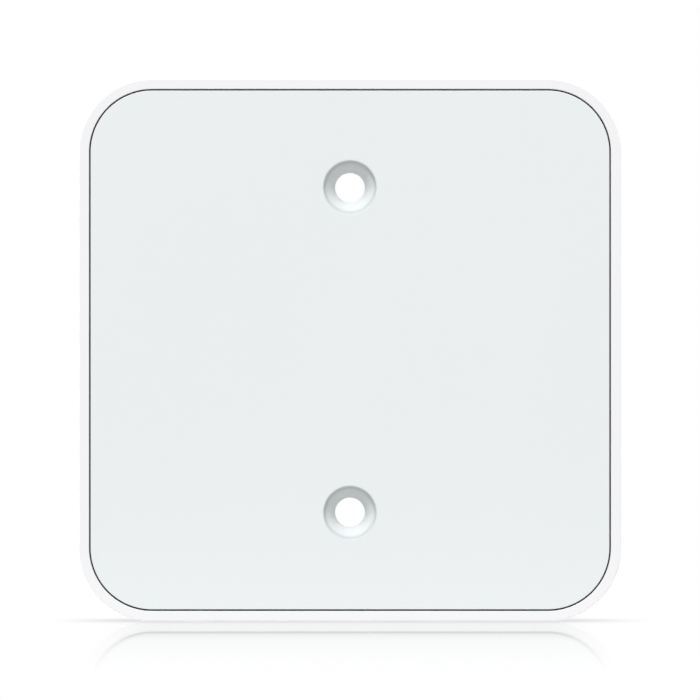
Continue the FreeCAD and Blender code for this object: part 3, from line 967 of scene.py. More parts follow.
@dataclass
class TrayMoulding:
    """The white tray: rim, ledge, floor, screw posts, lattice, and the moulded back.

    Args:
        finish: Its material.
        plate: The plate's outline.
        depths: The depths of its layers.
        seats: The two screw seats, which the posts stand behind.
        seam: What follows the outline.
        front_edge: Radius of the rim's outer front edge.
        back_edge: Radius of the outer back edge.
        small_edge: Radius of the softened small edges.
        lattice: The cells behind the panel's middle.
        lattice_corner: Radius of the lattice's outer corners.
        core_outs: The core-outs in the back.
        pocket_depth: Depth of the core-outs and of the pad pockets.
        screw_reach: From the middle to a yoke screw, along X and along Z.
        screw_mouth: Radius of a yoke screw's hole at the back.
        screw_hole: Radius of that hole past its countersink.
        pad_places: The middles of the grip pads.
        pad_pocket: A pad pocket's width, length and corner radius.
    """

    finish: bpy.types.Material
    plate: RoundedRectangle
    depths: Depths = Depths()
    seats: SeatSizes = SeatSizes()
    seam: SeamSizes = SeamSizes()
    front_edge: float = 0.25
    back_edge: float = 0.6
    small_edge: float = 0.12
    lattice: CellGrid = CellGrid(width=40.44, height=33.20, wall=1.2, count=4, radius=0.5)
    lattice_corner: float = 2.0
    core_outs: CellGrid = CellGrid(width=46.0, height=46.0, wall=2.0, count=4, radius=1.5)
    pocket_depth: float = 0.6
    screw_reach: float = 37.5
    screw_mouth: float = 2.65
    screw_hole: float = 1.4
    pad_places: tuple[Point, ...] = ()
    pad_pocket: tuple[float, float, float] = (6.2, 20.2, 2.7)

    def build(self) -> bpy.types.Object:
        """Builds the tray.

        Returns:
            The finished piece.
        """
        solid = Solid("tray_moulding")
        back_rim, floor_rim = self.shell(solid)
        mouths = self.screw_holes(solid)
        posts, feet = self.screw_posts(solid)
        block = self.lattice_block(solid)
        solid.skin(floor_rim, [*posts, block, *(front for _, front in mouths)])
        solid.skin(back_rim, [*feet, *self.pockets(solid), *(back for back, _ in mouths)])
        return solid.finish(self.finish)

    def shell(self, solid: Solid) -> tuple[Loop, Loop]:
        """The rim, from the edge of the back round the outside and down to the floor inside.

        Args:
            solid: What it is added to.

        Returns:
            Its loop in the back, and its loop in the floor.
        """
        at, outer, inner = self.depths, self.front_edge, self.seam.rim
        back = at.floor_back
        edge = self.small_edge
        steps = [Step(self.back_edge, back)]
        steps += rounding((self.back_edge, back), (0, back + self.back_edge), (0, back), Facets.OUTER)
        steps += [Step(0, at.face - outer, Surface.ROUND)]
        steps += rounding((0, at.face - outer), (outer, at.face), (0, at.face), Facets.OUTER)
        steps += [Step(inner - edge, at.face)]
        steps += rounding((inner - edge, at.face), (inner, at.face - edge), (inner, at.face), Facets.SMALL)
        steps += [Step(inner, at.ledge, Surface.ROUND), Step(inner + self.seam.ledge, at.ledge)]
        steps += [Step(inner + self.seam.ledge, at.floor_front, Surface.ROUND)]
        return solid.trace(self.plate, steps)

    def screw_posts(self, solid: Solid) -> tuple[list[Loop], list[Loop]]:
        """The posts, their bores and their feet.

        Args:
            solid: What they are added to.

        Returns:
            Their loops in the floor's front, and their loops in its back.
        """
        at, size, edge = self.depths, self.seats, self.small_edge
        bore, foot = size.post - size.bore, size.post - size.foot
        steps = [Step(0, at.floor_front), Step(0, at.cup_back, Surface.ROUND), Step(bore, at.cup_back)]
        steps += [Step(bore, edge, Surface.ROUND), Step(bore - edge, 0, Surface.ROUND), Step(foot + edge, 0)]
        steps += rounding((foot + edge, 0), (foot, edge), (foot, 0), Facets.SMALL)
        steps += [Step(foot, at.floor_back, Surface.ROUND)]
        traced = [solid.trace(Ring(size.post, centre, Turns.SEAT), steps) for centre in size.centres()]
        return [first for first, _ in traced], [last for _, last in traced]

    def screw_holes(self, solid: Solid) -> list[tuple[Loop, Loop]]:
        """The countersunk holes of the yoke screws.

        Args:
            solid: What they are added to.

        Returns:
            Each one's back and front loop.
        """
        at, taper = self.depths, self.screw_mouth - self.screw_hole
        steps = [Step(0, at.floor_back), Step(taper, at.floor_back + taper, Surface.ROUND)]
        steps += [Step(taper, at.floor_front, Surface.ROUND)]
        reach = (self.screw_reach, -self.screw_reach)
        return [solid.trace(Ring(self.screw_mouth, (x, z)), steps) for x in reach for z in reach]

    def lattice_block(self, solid: Solid) -> Loop:
        """The egg-crate behind the panel's middle.

        Args:
            solid: What it is added to.

        Returns:
            Its loop in the floor.
        """
        at, grid = self.depths, self.lattice
        size = (grid.width + 2 * grid.wall, grid.height + 2 * grid.wall)
        block = RoundedRectangle(*size, self.lattice_corner, steps=Facets.OUTER)
        first, top = solid.trace(block, [Step(0, at.floor_front), Step(0, at.panel_back, Surface.ROUND)])
        walls = [Step(0, at.panel_back), Step(0, at.floor_front, Surface.ROUND)]
        cells = [solid.trace(cell, walls) for cell in grid.cells()]
        solid.skin(top, [mouth for mouth, _ in cells])
        for _, bottom in cells:
            solid.skin(bottom)
        return first

    def pockets(self, solid: Solid) -> list[Loop]:
        """The core-outs and the pad pockets in the back.

        Args:
            solid: What they are added to.

        Returns:
            Their mouths.
        """
        back, edge = self.depths.floor_back, self.small_edge
        bottom = back + self.pocket_depth
        mouths = []
        pads = [RoundedRectangle(*self.pad_pocket, place, Facets.PAD) for place in self.pad_places]
        for outline in [*self.core_outs.cells(), *pads]:
            steps = [Step(-edge, back)]
            steps += rounding((-edge, back), (0, back + edge), (0, back), Facets.INNER)
            steps += [Step(0, bottom - 2 * edge, Surface.ROUND)]
            steps += rounding((0, bottom - 2 * edge), (2 * edge, bottom), (0, bottom), Facets.INNER)
            mouth, floor = solid.trace(outline, steps)
            solid.skin(floor)
            mouths.append(mouth)
        return mouths


@dataclass
class FacePanel:
    """The flush panel, with a softened edge and a cup behind each hole that carries its seat.

    Args:
        finish: Its material.
        plate: The plate's outline.
        depths: The depths of its layers.
        seats: The two screw seats.
        seam: What follows the outline.
        edge: Radius of its softened outer edges.
    """

    finish: bpy.types.Material
    plate: RoundedRectangle
    depths: Depths = Depths()
    seats: SeatSizes = SeatSizes()
    seam: SeamSizes = SeamSizes()
    edge: float = 0.12

    def build(self) -> bpy.types.Object:
        """Builds the panel.

        Returns:
            The finished piece.
        """
        solid = Solid("panel_sheet")
        back, face = self.depths.panel_back, self.depths.face
        edge, inset = self.edge, self.seam.rim + self.seam.gap
        rim = [Step(inset + edge, back)]
        rim += rounding((inset + edge, back), (inset, back + edge), (inset, back), Facets.INNER)
        rim += [Step(inset, face - edge, Surface.ROUND)]
        rim += rounding((inset, face - edge), (inset + edge, face), (inset, face))
        rim_back, rim_face = solid.trace(self.plate, rim)
        rings = [Ring(self.seats.post, centre, Turns.SEAT) for centre in self.seats.centres()]
        cups = [solid.trace(ring, self.cup()) for ring in rings]
        solid.skin(rim_back, [first for first, _ in cups])
        solid.skin(rim_face, [last for _, last in cups])
        return solid.finish(self.finish)

    def cup(self) -> list[Step]:
        """The way round a cup's wall, up its bore and its cone, and out to the face.

        Returns:
            The steps, as insets from the cup's outer wall.
        """
        at, size = self.depths, self.seats
        bore, cone, lip = (size.post - radius for radius in (size.bore, size.cone, size.lip))
        steps = [Step(0, at.panel_back), Step(0, at.cup_back, Surface.ROUND), Step(bore, at.cup_back)]
        steps += [Step(bore, at.cone_bottom, Surface.ROUND), Step(cone, at.seat, Surface.ROUND)]
        steps += [Step(lip, at.seat), Step(lip, at.face - size.edge, Surface.ROUND)]
        start, end = (lip, at.face - size.edge), (lip - size.edge, at.face)
        return steps + rounding(start, end, (lip, at.face), Facets.OUTER)


# ---------------------------------------------------------------- what repeats or follows a path


class Geometry(Graph):
    """A Geometry Nodes tree with named inputs, which dresses or replaces the mesh of its host."""

    def __init__(self, name: str, inputs: dict[str, tuple[str, Any]]) -> None:
        """Starts a tree.

        Args:
            name: The tree's name.
            inputs: Each input's socket type and value, by name.
        """
        tree = bpy.data.node_groups.new(name, "GeometryNodeTree")
        super().__init__(tree)
        tree.interface.new_socket("Geometry", in_out="INPUT", socket_type="NodeSocketGeometry")
        self.values: dict[str, Any] = {}
        for label, (kind, value) in inputs.items():
            socket = tree.interface.new_socket(label, in_out="INPUT", socket_type=kind)
            self.values[socket.identifier] = value
        tree.interface.new_socket("Geometry", in_out="OUTPUT", socket_type="NodeSocketGeometry")
        self.entry = tree.nodes.new("NodeGroupInput")

    def given(self, name: str) -> Wire:
        """One of the tree's inputs, by name."""
        return Wire(self, self.entry.outputs[name])

    def end(self, geometry: Wire) -> None:
        """Realizes the geometry, gives it the Finish input's material, and ends the tree.

        Args:
            geometry: What the tree has made.
        """
        solid = self.add("GeometryNodeRealizeInstances", {}, {"Geometry": geometry})
        values = {"Geometry": solid, "Material": self.given("Finish")}
        self.node("NodeGroupOutput", {}, {0: self.add("GeometryNodeSetMaterial", {}, values)})

    def run(self, name: str, host: bpy.types.Mesh | None = None) -> bpy.types.Object:
        """Evaluates the tree into a plain mesh.

        Args:
            name: The piece's name.
            host: The mesh that enters the tree, if any.

        Returns:
            The piece, with no modifier left on it.
        """
        mesh = host or bpy.data.meshes.new(f"{name}_host")
        carrier = bpy.data.objects.new(f"{name}_carrier", mesh)
        bpy.context.scene.collection.objects.link(carrier)
        modifier = carrier.modifiers.new("geometry", "NODES")
        modifier.node_group = self.tree
        for identifier, value in self.values.items():
            modifier[identifier] = value
        graph = bpy.context.evaluated_depsgraph_get()
        data = bpy.data.meshes.new_from_object(carrier.evaluated_get(graph), depsgraph=graph)
        data.name = name
        piece = bpy.data.objects.new(name, data)
        bpy.context.scene.collection.objects.link(piece)
        bpy.data.objects.remove(carrier)
        return piece


@dataclass
class PanelTape:
    """The closed band of tape in the seam, swept round the ledge.

    Args:
        finish: Its material.
        plate: The plate's outline.
        depths: The depths of its layers.
        seam: What follows the outline.
        corner_steps: Facets in each corner.
    """

    finish: bpy.types.Material
    plate: RoundedRectangle
    depths: Depths = Depths()
    seam: SeamSizes = SeamSizes()
    corner_steps: Facets = Facets.PLATE

    def build(self) -> bpy.types.Object:
        """Sweeps the band's section round its middle line.

        Returns:
            The finished piece.
        """
        outer = self.seam.rim + self.seam.tape_clearance
        inner = self.seam.rim + self.seam.ledge - self.seam.tape_setback
        middle = (outer + inner) / 2
        low, high = self.depths.ledge, self.depths.panel_back
        lengths = {
            "Width": self.plate.width - 2 * middle,
            "Height": self.plate.height - 2 * middle,
            "Corner Radius": self.plate.radius - middle,
            "Band Width": inner - outer,
            "Thickness": high - low,
            "Depth": (low + high) / 2,
        }
        inputs = {name: ("NodeSocketFloat", value * MM) for name, value in lengths.items()}
        inputs["Finish"] = ("NodeSocketMaterial", self.finish)
        tree = Geometry("tape_sweep", inputs)
        corners = {"Width": tree.given("Width"), "Height": tree.given("Height")}
        path = tree.add("GeometryNodeCurvePrimitiveQuadrilateral", {}, corners)
        rounded = tree.node("GeometryNodeFilletCurve", {}, {"Curve": path})
        self.set_corner(tree, rounded)
        section = {"Width": tree.given("Band Width"), "Height": tree.given("Thickness")}
        profile = tree.add("GeometryNodeCurvePrimitiveQuadrilateral", {}, section)
        swept = {"Curve": Wire(tree, rounded.outputs[0]), "Profile Curve": profile}
        band = tree.add("GeometryNodeCurveToMesh", {}, swept)
        lift = tree.add("ShaderNodeCombineXYZ", {}, {"Y": 0 - tree.given("Depth")})
        laid = {"Geometry": band, "Translation": lift, "Rotation": UPRIGHT}
        tree.end(tree.add("GeometryNodeTransform", {}, laid))
        piece = tree.run("seam_tape")
        piece.data.shade_flat()
        return piece

    def set_corner(self, tree: Geometry, rounded: bpy.types.Node) -> None:
        """Rounds the path's corners with the tree's radius and a fixed count of facets.

        Args:
            tree: The tree.
            rounded: Its Fillet Curve node.
        """
        if "Mode" in rounded.inputs:
            rounded.inputs["Mode"].default_value = "Poly"
        else:
            rounded.mode = "POLY"
        rounded.inputs["Count"].default_value = self.corner_steps
        tree.tree.links.new(tree.given("Corner Radius").socket, rounded.inputs["Radius"])


@dataclass
class YokeScrews:
    """Countersunk screws at the corners of a square, each with its cross turned its own way.

    Args:
        finish: Their material.
        reach: From the middle to a screw, along X and along Z.
        head_depth: The head's face, from the wall plane.
        head_radius: Radius of the head.
        head_rim: Straight rim of the head above its cone.
        head_edge: Radius of the softened edge of the head.
        shank_radius: Radius of the thread's crests.
        root_radius: Radius between the crests.
        pitch: From one crest to the next.
        flank: Share of the pitch from a crest down to the root.
        run_out: Plain shank between the cone and the thread.
        tip_depth: The tip, from the wall plane.
        tip_edge: Length of the chamfer at the tip.
        recess: The cross at the head's face.
        recess_steps: Insets and depths of the recess below the head's face.
        seed: Seed of the turns.
    """

    finish: bpy.types.Material
    reach: float = 37.5
    head_depth: float = 0.6
    head_radius: float = 2.35
    head_rim: float = 0.2
    head_edge: float = 0.08
    shank_radius: float = 1.25
    root_radius: float = 1.02
    pitch: float = 0.45
    flank: float = 0.45
    run_out: float = 0.1
    tip_depth: float = 3.5
    tip_edge: float = 0.15
    recess: Cross = Cross(reach=1.3, arm=0.32)
    recess_steps: tuple[Point, ...] = ((0.0, 0.0), (0.25, 0.75), (0.45, 0.9))
    seed: int = 7

    def screw(self) -> bpy.types.Mesh:
        """One screw at the origin, its head's face looking towards +Y.

        Returns:
            Its mesh.
        """
        solid = Solid("yoke_screw")
        edge, top = self.head_edge, self.head_depth
        steps = [Step(edge, top), *rounding((edge, top), (0, top + edge), (0, top), Facets.INNER)]
        steps += [Step(0, top + self.head_rim, Surface.ROUND)]
        taper = self.head_radius - self.shank_radius
        cone_end = top + self.head_rim + taper
        steps += [Step(taper, cone_end, Surface.ROUND)]
        crest, root = taper, self.head_radius - self.root_radius
        turns = int((self.tip_depth - cone_end - 2 * self.run_out) / self.pitch)
        for turn in range(turns):
            start = cone_end + self.run_out + turn * self.pitch
            steps += [Step(crest, start, Surface.ROUND), Step(root, start + self.pitch * self.flank)]
            steps += [Step(root, start + self.pitch * (1 - self.flank)), Step(crest, start + self.pitch)]
        steps += [Step(crest, self.tip_depth - self.tip_edge, Surface.ROUND), Step(root, self.tip_depth)]
        head, tip = solid.trace(Ring(self.head_radius), steps)
        cross = [Step(inset, top + depth) for inset, depth in self.recess_steps]
        mouth, bottom = solid.trace(self.recess, cross)
        solid.skin(head, [mouth])
        solid.skin(bottom)
        solid.skin(tip)
        return solid.mesh_only(self.finish)

    def build(self) -> bpy.types.Object:
        """Puts a screw at each corner.

        Returns:
            The finished piece, all screws in one mesh.
        """
        inputs = {
            "Reach": ("NodeSocketFloat", 2 * self.reach * MM),
            "Seed": ("NodeSocketInt", self.seed),
            "Finish": ("NodeSocketMaterial", self.finish),
        }
        tree = Geometry("screw_corners", inputs)
        reach = tree.given("Reach")
        square = {"Size X": reach, "Size Y": reach, "Vertices X": 2, "Vertices Y": 2}
        grid = tree.add("GeometryNodeMeshGrid", {}, square)
        upright = tree.add("GeometryNodeTransform", {}, {"Geometry": grid, "Rotation": UPRIGHT})
        limits = {"Min": (0.0, -math.pi, 0.0), "Max": (0.0, math.pi, 0.0), "Seed": tree.given("Seed")}
        turn = tree.add("FunctionNodeRandomValue", {"data_type": "FLOAT_VECTOR"}, limits)
        values = {"Points": upright, "Instance": tree.given("Geometry"), "Rotation": turn}
        tree.end(tree.add("GeometryNodeInstanceOnPoints", {}, values))
        return tree.run("yoke_screw_set", self.screw())


@dataclass
class GripPad:
    """A soft pad with cross ribs that bite the ceiling.

    Args:
        finish: Its material.
        number: Its number among the pads.
        place: Its middle, as (x, z).
        width: Side to side, along X.
        length: Bottom to top, along Z.
        radius: Corner radius.
        back: Its wall side, from the wall plane.
        front: Its glued side, from the wall plane.
        edge: Radius of its outer edge on the wall side.
        crease: Size of its other small edges.
        rib_height: How far a rib stands up from the sunken field.
        rib_width: Width of a rib.
        rib_margin: Room between the ribs' ends and the border, both ends together.
        rib_count: Ribs on a pad.
        border: Width of the border round the field.
    """

    finish: bpy.types.Material
    number: int
    place: Point
    width: float = 6.0
    length: float = 20.0
    radius: float = 2.6
    back: float = 0.0
    front: float = 1.1
    edge: float = 0.2
    crease: float = 0.05
    rib_height: float = 0.28
    rib_width: float = 0.75
    rib_margin: float = 0.5
    rib_count: int = 13
    border: float = 0.7

    def base(self) -> bpy.types.Mesh:
        """The pad's body: a border that stands at full height round a sunken field.

        Returns:
            Its mesh.
        """
        solid = Solid(f"grip_pad_{self.number}_body")
        outline = RoundedRectangle(self.width, self.length, self.radius, self.place, Facets.PAD)
        edge, crease, low = self.edge, self.crease, self.back + self.rib_height
        steps = [Step(crease, self.front), Step(0, self.front - crease, Surface.ROUND)]
        steps += [Step(0, self.back + edge, Surface.ROUND)]
        steps += rounding((0, self.back + edge), (edge, self.back), (0, self.back))
        steps += [Step(self.border - crease, self.back)]
        steps += [Step(self.border, self.back + crease, Surface.ROUND), Step(self.border, low, Surface.ROUND)]
        front, field = solid.trace(outline, steps)
        solid.skin(front)
        solid.skin(field)
        return solid.mesh_only(self.finish)

    def build(self) -> bpy.types.Object:
        """Lays the ribs along the sunken field.

        Returns:
            The finished piece.
        """
        sizes = {
            "Rib Length": self.width - 2 * self.border - self.rib_margin,
            "Rib Width": self.rib_width,
            "Rib Height": self.rib_height,
            "Reach": self.length / 2 - self.border - self.rib_width,
        }
        inputs = {name: ("NodeSocketFloat", value * MM) for name, value in sizes.items()}
        inputs["Count"] = ("NodeSocketInt", self.rib_count)
        inputs["Finish"] = ("NodeSocketMaterial", self.finish)
        tree = Geometry(f"pad_ribs_{self.number}", inputs)
        centre_y = -(self.back + self.rib_height / 2) * MM
        x, z = self.place[0] * MM, self.place[1] * MM
        start, end = (
            tree.add("ShaderNodeCombineXYZ", {}, {"X": x, "Y": centre_y, "Z": height})
            for height in (z - tree.given("Reach"), z + tree.given("Reach"))
        )
        ends = {"Count": tree.given("Count"), "Start Location": start, "Offset": end}
        line = tree.add("GeometryNodeMeshLine", {"mode": "END_POINTS"}, ends)
        box = {"X": tree.given("Rib Length"), "Y": tree.given("Rib Height"), "Z": tree.given("Rib Width")}
        size = tree.add("ShaderNodeCombineXYZ", {}, box)
        rib = tree.add("GeometryNodeMeshCube", {}, {"Size": size})
        ribs = tree.add("GeometryNodeInstanceOnPoints", {}, {"Points": line, "Instance": rib})
        joined = tree.node("GeometryNodeJoinGeometry", {}, {})
        tree.tree.links.new(ribs.socket, joined.inputs[0])
        tree.tree.links.new(tree.given("Geometry").socket, joined.inputs[0])
        tree.end(Wire(tree, joined.outputs[0]))
        return tree.run(f"ribbed_grip_pad_{self.number}", self.base())


class InnerPack:
    """The yoke, the carrier and the magnets, whose shapes are right as they come."""

    def __init__(self, finishes: Finishes) -> None:
        """Keeps the finishes that it gives out."""
        self.finishes = finishes

    def dress(self) -> None:
        """Gives each carried-over part its finish."""
        nodes = frame["nodes"]
        magnets = sorted(name for name in nodes if name.startswith("magnet_") and name != "magnet_carrier")
        pairs = {"yoke_plate": self.finishes.yoke, "magnet_carrier": self.finishes.carrier}
        pairs |= {name: self.finishes.nickel for name in magnets}
        for name, material in pairs.items():
            data = nodes[name].data
            data.materials.clear()
            data.materials.append(material)
            LOG.info("%s keeps its shape in %s", name, material.name)


# ---------------------------------------------------------------- the studio


def add_lamp(name: str, data: bpy.types.AreaLight, place: Vector, facing: Vector) -> None:
    """Puts an area light in the scene, hidden from the camera and from mirror images.

    Args:
        name: Its name.
        data: The light.
        place: Its middle, in metres.
        facing: The way it shines.
    """
    lamp = bpy.data.objects.new(name, data)
    lamp.location = place
    lamp.rotation_mode = "QUATERNION"
    lamp.rotation_quaternion = facing.to_track_quat("-Z", "Y")
    lamp.visible_camera = False
    lamp.visible_glossy = False
    bpy.context.scene.collection.objects.link(lamp)


@dataclass(frozen=True)
class Softbox:
    """A square soft light aimed at the plate's middle.

    Args:
        name: Its name.
        azimuth: Degrees round from the front, positive to the right.
        elevation: Degrees above the horizon.
        distance: Metres from the plate.
        size: Side of the light, in metres.
        level: Brightness that it alone gives a white card facing it.
    """

    name: str
    azimuth: float
    elevation: float
    distance: float
    size: float
    level: float

    def build(self) -> None:
        """Makes the light."""
        around, above = math.radians(self.azimuth), math.radians(self.elevation)
        data = bpy.data.lights.new(self.name, "AREA")
        data.shape = "SQUARE"
        data.size = self.size
        data.energy = math.pi**2 * self.distance**2 * self.level
        direction = Vector(
            (math.sin(around) * math.cos(above), -math.cos(around) * math.cos(above), math.sin(above))
        )
        add_lamp(self.name, data, direction * self.distance, -direction)


@dataclass(frozen=True)
class TableBounce:
    """Light that the table right in front of the plate throws back up.

    Args:
        name: Its name.
        width: Side to side, in metres.
        reach: How far it comes forward from the plate, in metres.
        glow: Its brightness, where a white card in full light has 1.
        lift: How far it floats above the table, in metres.
    """

    name: str
    width: float
    reach: float
    glow: float
    lift: float = 0.0001

    def build(self, low: Vector) -> None:
        """Makes the light just above the table, in front of the plate's lower edge.

        Args:
            low: The plate's lowest corner.
        """
        data = bpy.data.lights.new(self.name, "AREA")
        data.shape = "RECTANGLE"
        data.size, data.size_y = self.width, self.reach
        data.energy = math.pi * self.width * self.reach * self.glow
        place = Vector((0.0, low.y - self.reach / 2, low.z + self.lift))
        add_lamp(self.name, data, place, Vector((0.0, 0.0, 1.0)))


def glow(graph: Graph, tint: Any) -> Wire:
    """A surface that shines by itself at full strength, in a tint."""
    return graph.add("ShaderNodeEmission", {}, {"Color": tint, "Strength": 1.0})


@dataclass(frozen=True)
class TableTop:
    """A glossy white table with a mirror image and a contact shade that die away from the plate.

    Lengths are metres. The shade has three parts: a thin line right under the plate, a soft fringe that
    fades away in front and behind, and a broad faint pool that ends at some distance.

    Args:
        mirror: Share of the mirror image right under the plate.
        mirror_from: Where the mirror image starts to fade, away from the plate's middle plane.
        mirror_to: Where it is gone.
        gloss_roughness: How blurred it is.
        line_depth: How dark the line is.
        line_width: How wide it is, as the spread of a bell curve.
        line_share: Share of the line that is left out where the plate touches the table.
        fringe_depth: How dark the fringe is.
        fringe_fall: How fast it fades, per metre.
        pool_depth: How dark the pool is.
        pool_from: Where the pool starts to end, away from the plate.
        pool_to: Where it has ended.
        contact_from: Where the plate's lower side starts to rise into its corners, in from its edge.
        contact_to: Where the shade under it ends, in from its edge.
        line_from: Where the line starts to end, in from the plate's edge.
        line_to: Where it has ended, out from the plate's edge.
    """

    mirror: float = 0.40
    mirror_from: float = 0.05
    mirror_to: float = 0.25
    gloss_roughness: float = 0.04
    line_depth: float = 0.38
    line_width: float = 0.007
    line_share: float = 0.3
    fringe_depth: float = 0.09
    fringe_fall: float = 40.0
    pool_depth: float = 0.085
    pool_from: float = 0.065
    pool_to: float = 0.100
    contact_from: float = 0.016
    contact_to: float = 0.004
    line_from: float = 0.010
    line_to: float = 0.007

    def material(self, low: Vector, high: Vector) -> bpy.types.Material:
        """Builds the material.

        Args:
            low: The plate's lowest corner.
            high: Its highest corner.

        Returns:
            The material.
        """
        material = bpy.data.materials.new("white_table")
        material.use_nodes = True
        graph = Graph(material.node_tree)
        axes = graph.node("ShaderNodeSeparateXYZ", {}, {"Vector": graph.place()})
        along, depth = Wire(graph, axes.outputs["X"]).size(), Wire(graph, axes.outputs["Y"])
        half, middle = high.x, (low.y + high.y) / 2
        away = (low.y - depth).at_least(0.0) + (depth - high.y).at_least(0.0)
        from_middle = (depth - middle) / self.line_width
        pool = away.ramp(self.pool_from, self.pool_to, self.pool_depth, 0.0)
        fringe = (away * -self.fringe_fall).exponential() * self.fringe_depth
        line = (from_middle * from_middle * -0.5).exponential() * self.line_depth
        under = along.ramp(half - self.contact_from, half - self.contact_to, 1.0, 0.0)
        beside = along.ramp(half - self.line_from, half + self.line_to, 1.0, 0.0)
        shade = 1.0 - (pool + fringe) * under - line * (beside - under * self.line_share)
        tint = graph.add("ShaderNodeCombineXYZ", {}, {"X": shade, "Y": shade, "Z": shade})
        gloss = {"Color": opaque(WHITE), "Roughness": self.gloss_roughness}
        image = graph.add("ShaderNodeBsdfGlossy", {}, gloss)
        share = (depth - middle).size().ramp(self.mirror_from, self.mirror_to, self.mirror, 0.0)
        top = graph.add("ShaderNodeMixShader", {}, {0: share, 1: glow(graph, tint), 2: image})
        graph.node("ShaderNodeOutputMaterial", {}, {"Surface": top})
        return material


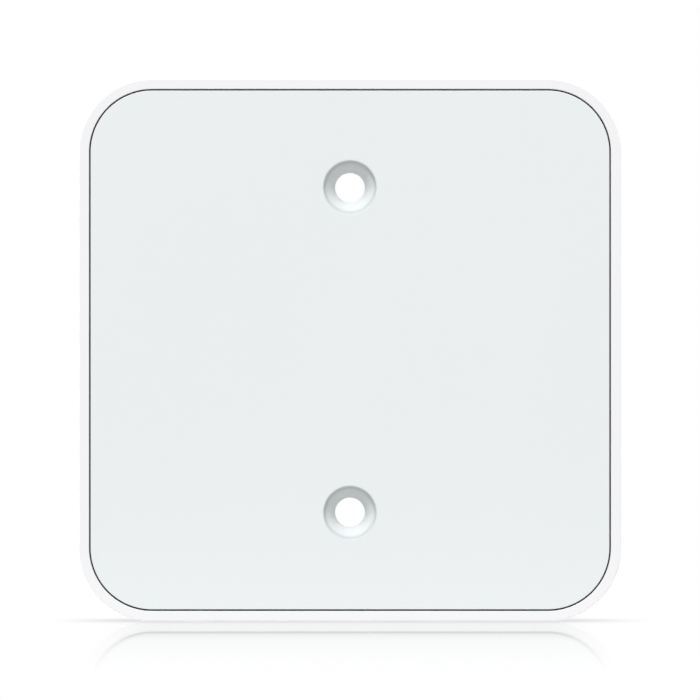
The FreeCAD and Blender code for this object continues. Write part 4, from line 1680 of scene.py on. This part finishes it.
@dataclass
class Studio:
    """A white table, a white dome behind everything, soft lights and the camera.

    Args:
        box: The whole mount's box, as its lowest and highest corner.
        lens: Focal length, in millimetres.
        sensor: Width of the camera's sensor, in millimetres.
        plate_share: Share of the picture's width that the plate takes.
        nearest: Nearest distance that the camera sees, in metres.
        farthest: Farthest distance that it sees, as a multiple of the radius.
        radius: Radius of the table and of the dome, in metres.
        table: The table's looks.
        front_glow: Brightness of the surroundings in front.
        back_glow: Their brightness at the back.
        glow_turn: Where the one turns into the other, as a direction's share along Y.
        lights: The soft lights.
        bounce: The light off the table.
    """

    box: tuple[Vector, Vector]
    lens: float = 400.0
    sensor: float = 36.0
    plate_share: float = 542.6 / 700
    nearest: float = 0.01
    farthest: float = 2.5
    radius: float = 4.0
    table: TableTop = TableTop()
    front_glow: float = 0.61
    back_glow: float = 0.45
    glow_turn: tuple[float, float] = (-0.35, 0.15)
    lights: tuple[Softbox, ...] = (
        Softbox("key_softbox", azimuth=-15.0, elevation=57.0, distance=9.0, size=4.5, level=0.785),
        Softbox("left_softbox", azimuth=-85.0, elevation=15.0, distance=3.0, size=2.4, level=0.08),
        Softbox("left_rim_light", azimuth=-100.0, elevation=0.0, distance=3.0, size=1.5, level=0.36),
        Softbox("right_rim_light", azimuth=100.0, elevation=0.0, distance=3.0, size=1.5, level=0.40),
        Softbox("low_rim_light", azimuth=180.0, elevation=-80.0, distance=3.0, size=1.5, level=0.70),
        Softbox("back_softbox", azimuth=-160.0, elevation=48.0, distance=4.0, size=1.6, level=0.44),
    )
    bounce: TableBounce = TableBounce("table_bounce", width=0.12, reach=0.022, glow=0.11)

    def build(self) -> None:
        """Builds the whole studio."""
        bpy.context.scene.view_settings.view_transform = "Standard"
        self.world()
        self.floor()
        self.dome()
        self.camera()
        for light in self.lights:
            light.build()
            LOG.info("light %s", light.name)
        self.bounce.build(self.box[0])

    def world(self) -> None:
        """Even white surroundings, a little brighter in front than at the back."""
        world = bpy.data.worlds.new("studio_light")
        world.use_nodes = True
        graph = Graph(world.node_tree)
        way = graph.add("ShaderNodeTexCoord", {}, {}, "Generated")
        depth = graph.add("ShaderNodeSeparateXYZ", {}, {"Vector": way}, "Y")
        level = depth.ramp(*self.glow_turn, self.front_glow, self.back_glow)
        light = graph.add("ShaderNodeBackground", {}, {"Color": opaque(WHITE), "Strength": level})
        graph.node("ShaderNodeOutputWorld", {}, {"Surface": light})
        bpy.context.scene.world = world

    def backdrop(self, name: str, mesh: bmesh.types.BMesh, material: bpy.types.Material) -> None:
        """Puts a shell round the mount that only the camera and mirror images see.

        Args:
            name: Its name.
            mesh: Its shape, which is used up.
            material: Its looks.
        """
        data = bpy.data.meshes.new(name)
        mesh.to_mesh(data)
        mesh.free()
        data.materials.append(material)
        made = bpy.data.objects.new(name, data)
        bpy.context.scene.collection.objects.link(made)
        made.visible_diffuse = False
        made.visible_shadow = False
        made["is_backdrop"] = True

    def floor(self) -> None:
        """A glossy white table, dimmed a little where the plate stands on it."""
        low, high = self.box
        mesh = bmesh.new()
        bmesh.ops.create_circle(mesh, cap_ends=True, segments=2 * Turns.SCREW, radius=self.radius)
        for vertex in mesh.verts:
            vertex.co.z = low.z
        self.backdrop("table_top", mesh, self.table.material(low, high))

    def dome(self) -> None:
        """A white dome behind everything."""
        mesh = bmesh.new()
        segments, rings = Turns.SCREW, Turns.SCREW // 2
        bmesh.ops.create_uvsphere(mesh, u_segments=segments, v_segments=rings, radius=self.radius)
        material = bpy.data.materials.new("white_backdrop")
        material.use_nodes = True
        graph = Graph(material.node_tree)
        graph.node("ShaderNodeOutputMaterial", {}, {"Surface": glow(graph, opaque(WHITE))})
        self.backdrop("white_dome", mesh, material)

    def camera(self) -> None:
        """A long lens, level with the plate's middle and square to its face."""
        low, high = self.box
        middle = (low + high) / 2
        view = (high.x - low.x) / self.plate_share
        data = bpy.data.cameras.new("camera")
        data.lens = self.lens
        data.sensor_width = self.sensor
        data.clip_start, data.clip_end = self.nearest, self.farthest * self.radius
        made = bpy.data.objects.new("camera", data)
        made.location = (middle.x, low.y - view * self.lens / self.sensor, middle.z)
        made.rotation_euler = (math.pi / 2, 0.0, 0.0)
        bpy.context.scene.collection.objects.link(made)
        bpy.context.scene.camera = made


# ---------------------------------------------------------------- the whole mount


def pad_place(node: str) -> Point:
    """The middle of a grip pad's CAD node, as (x, z) in millimetres."""
    low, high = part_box(node)
    return ((low.x + high.x) / 2 / MM, (low.z + high.z) / 2 / MM)


def main() -> None:
    """Builds the mount piece by piece, then the studio around it."""
    logging.basicConfig(level=logging.INFO, format="%(name)s: %(message)s")
    cad_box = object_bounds()
    finishes = Finishes()
    low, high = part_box("base_tray")
    plate = RoundedRectangle((high.x - low.x) / MM, (high.z - low.z) / MM, PLATE_RADIUS)
    pads = sorted(name for name in frame["nodes"] if name.startswith("grip_pad_"))
    places = tuple(pad_place(name) for name in pads)

    settle(TrayMoulding(finishes.tray, plate, pad_places=places).build(), "tray_plastic", "base_tray")
    settle(FacePanel(finishes.panel, plate).build(), "panel_plastic", "face_panel")
    settle(PanelTape(finishes.tape, plate).build(), "black_tape", "panel_tape")
    settle(YokeScrews(finishes.zinc).build(), "screw_steel", "yoke_screws")
    for number, (name, place) in enumerate(zip(pads, places), start=1):
        settle(GripPad(finishes.rubber, number, place).build(), "grip_rubber", name)
    InnerPack(finishes).dress()
    Studio(cad_box).build()


if __name__ == "__main__":
    main()
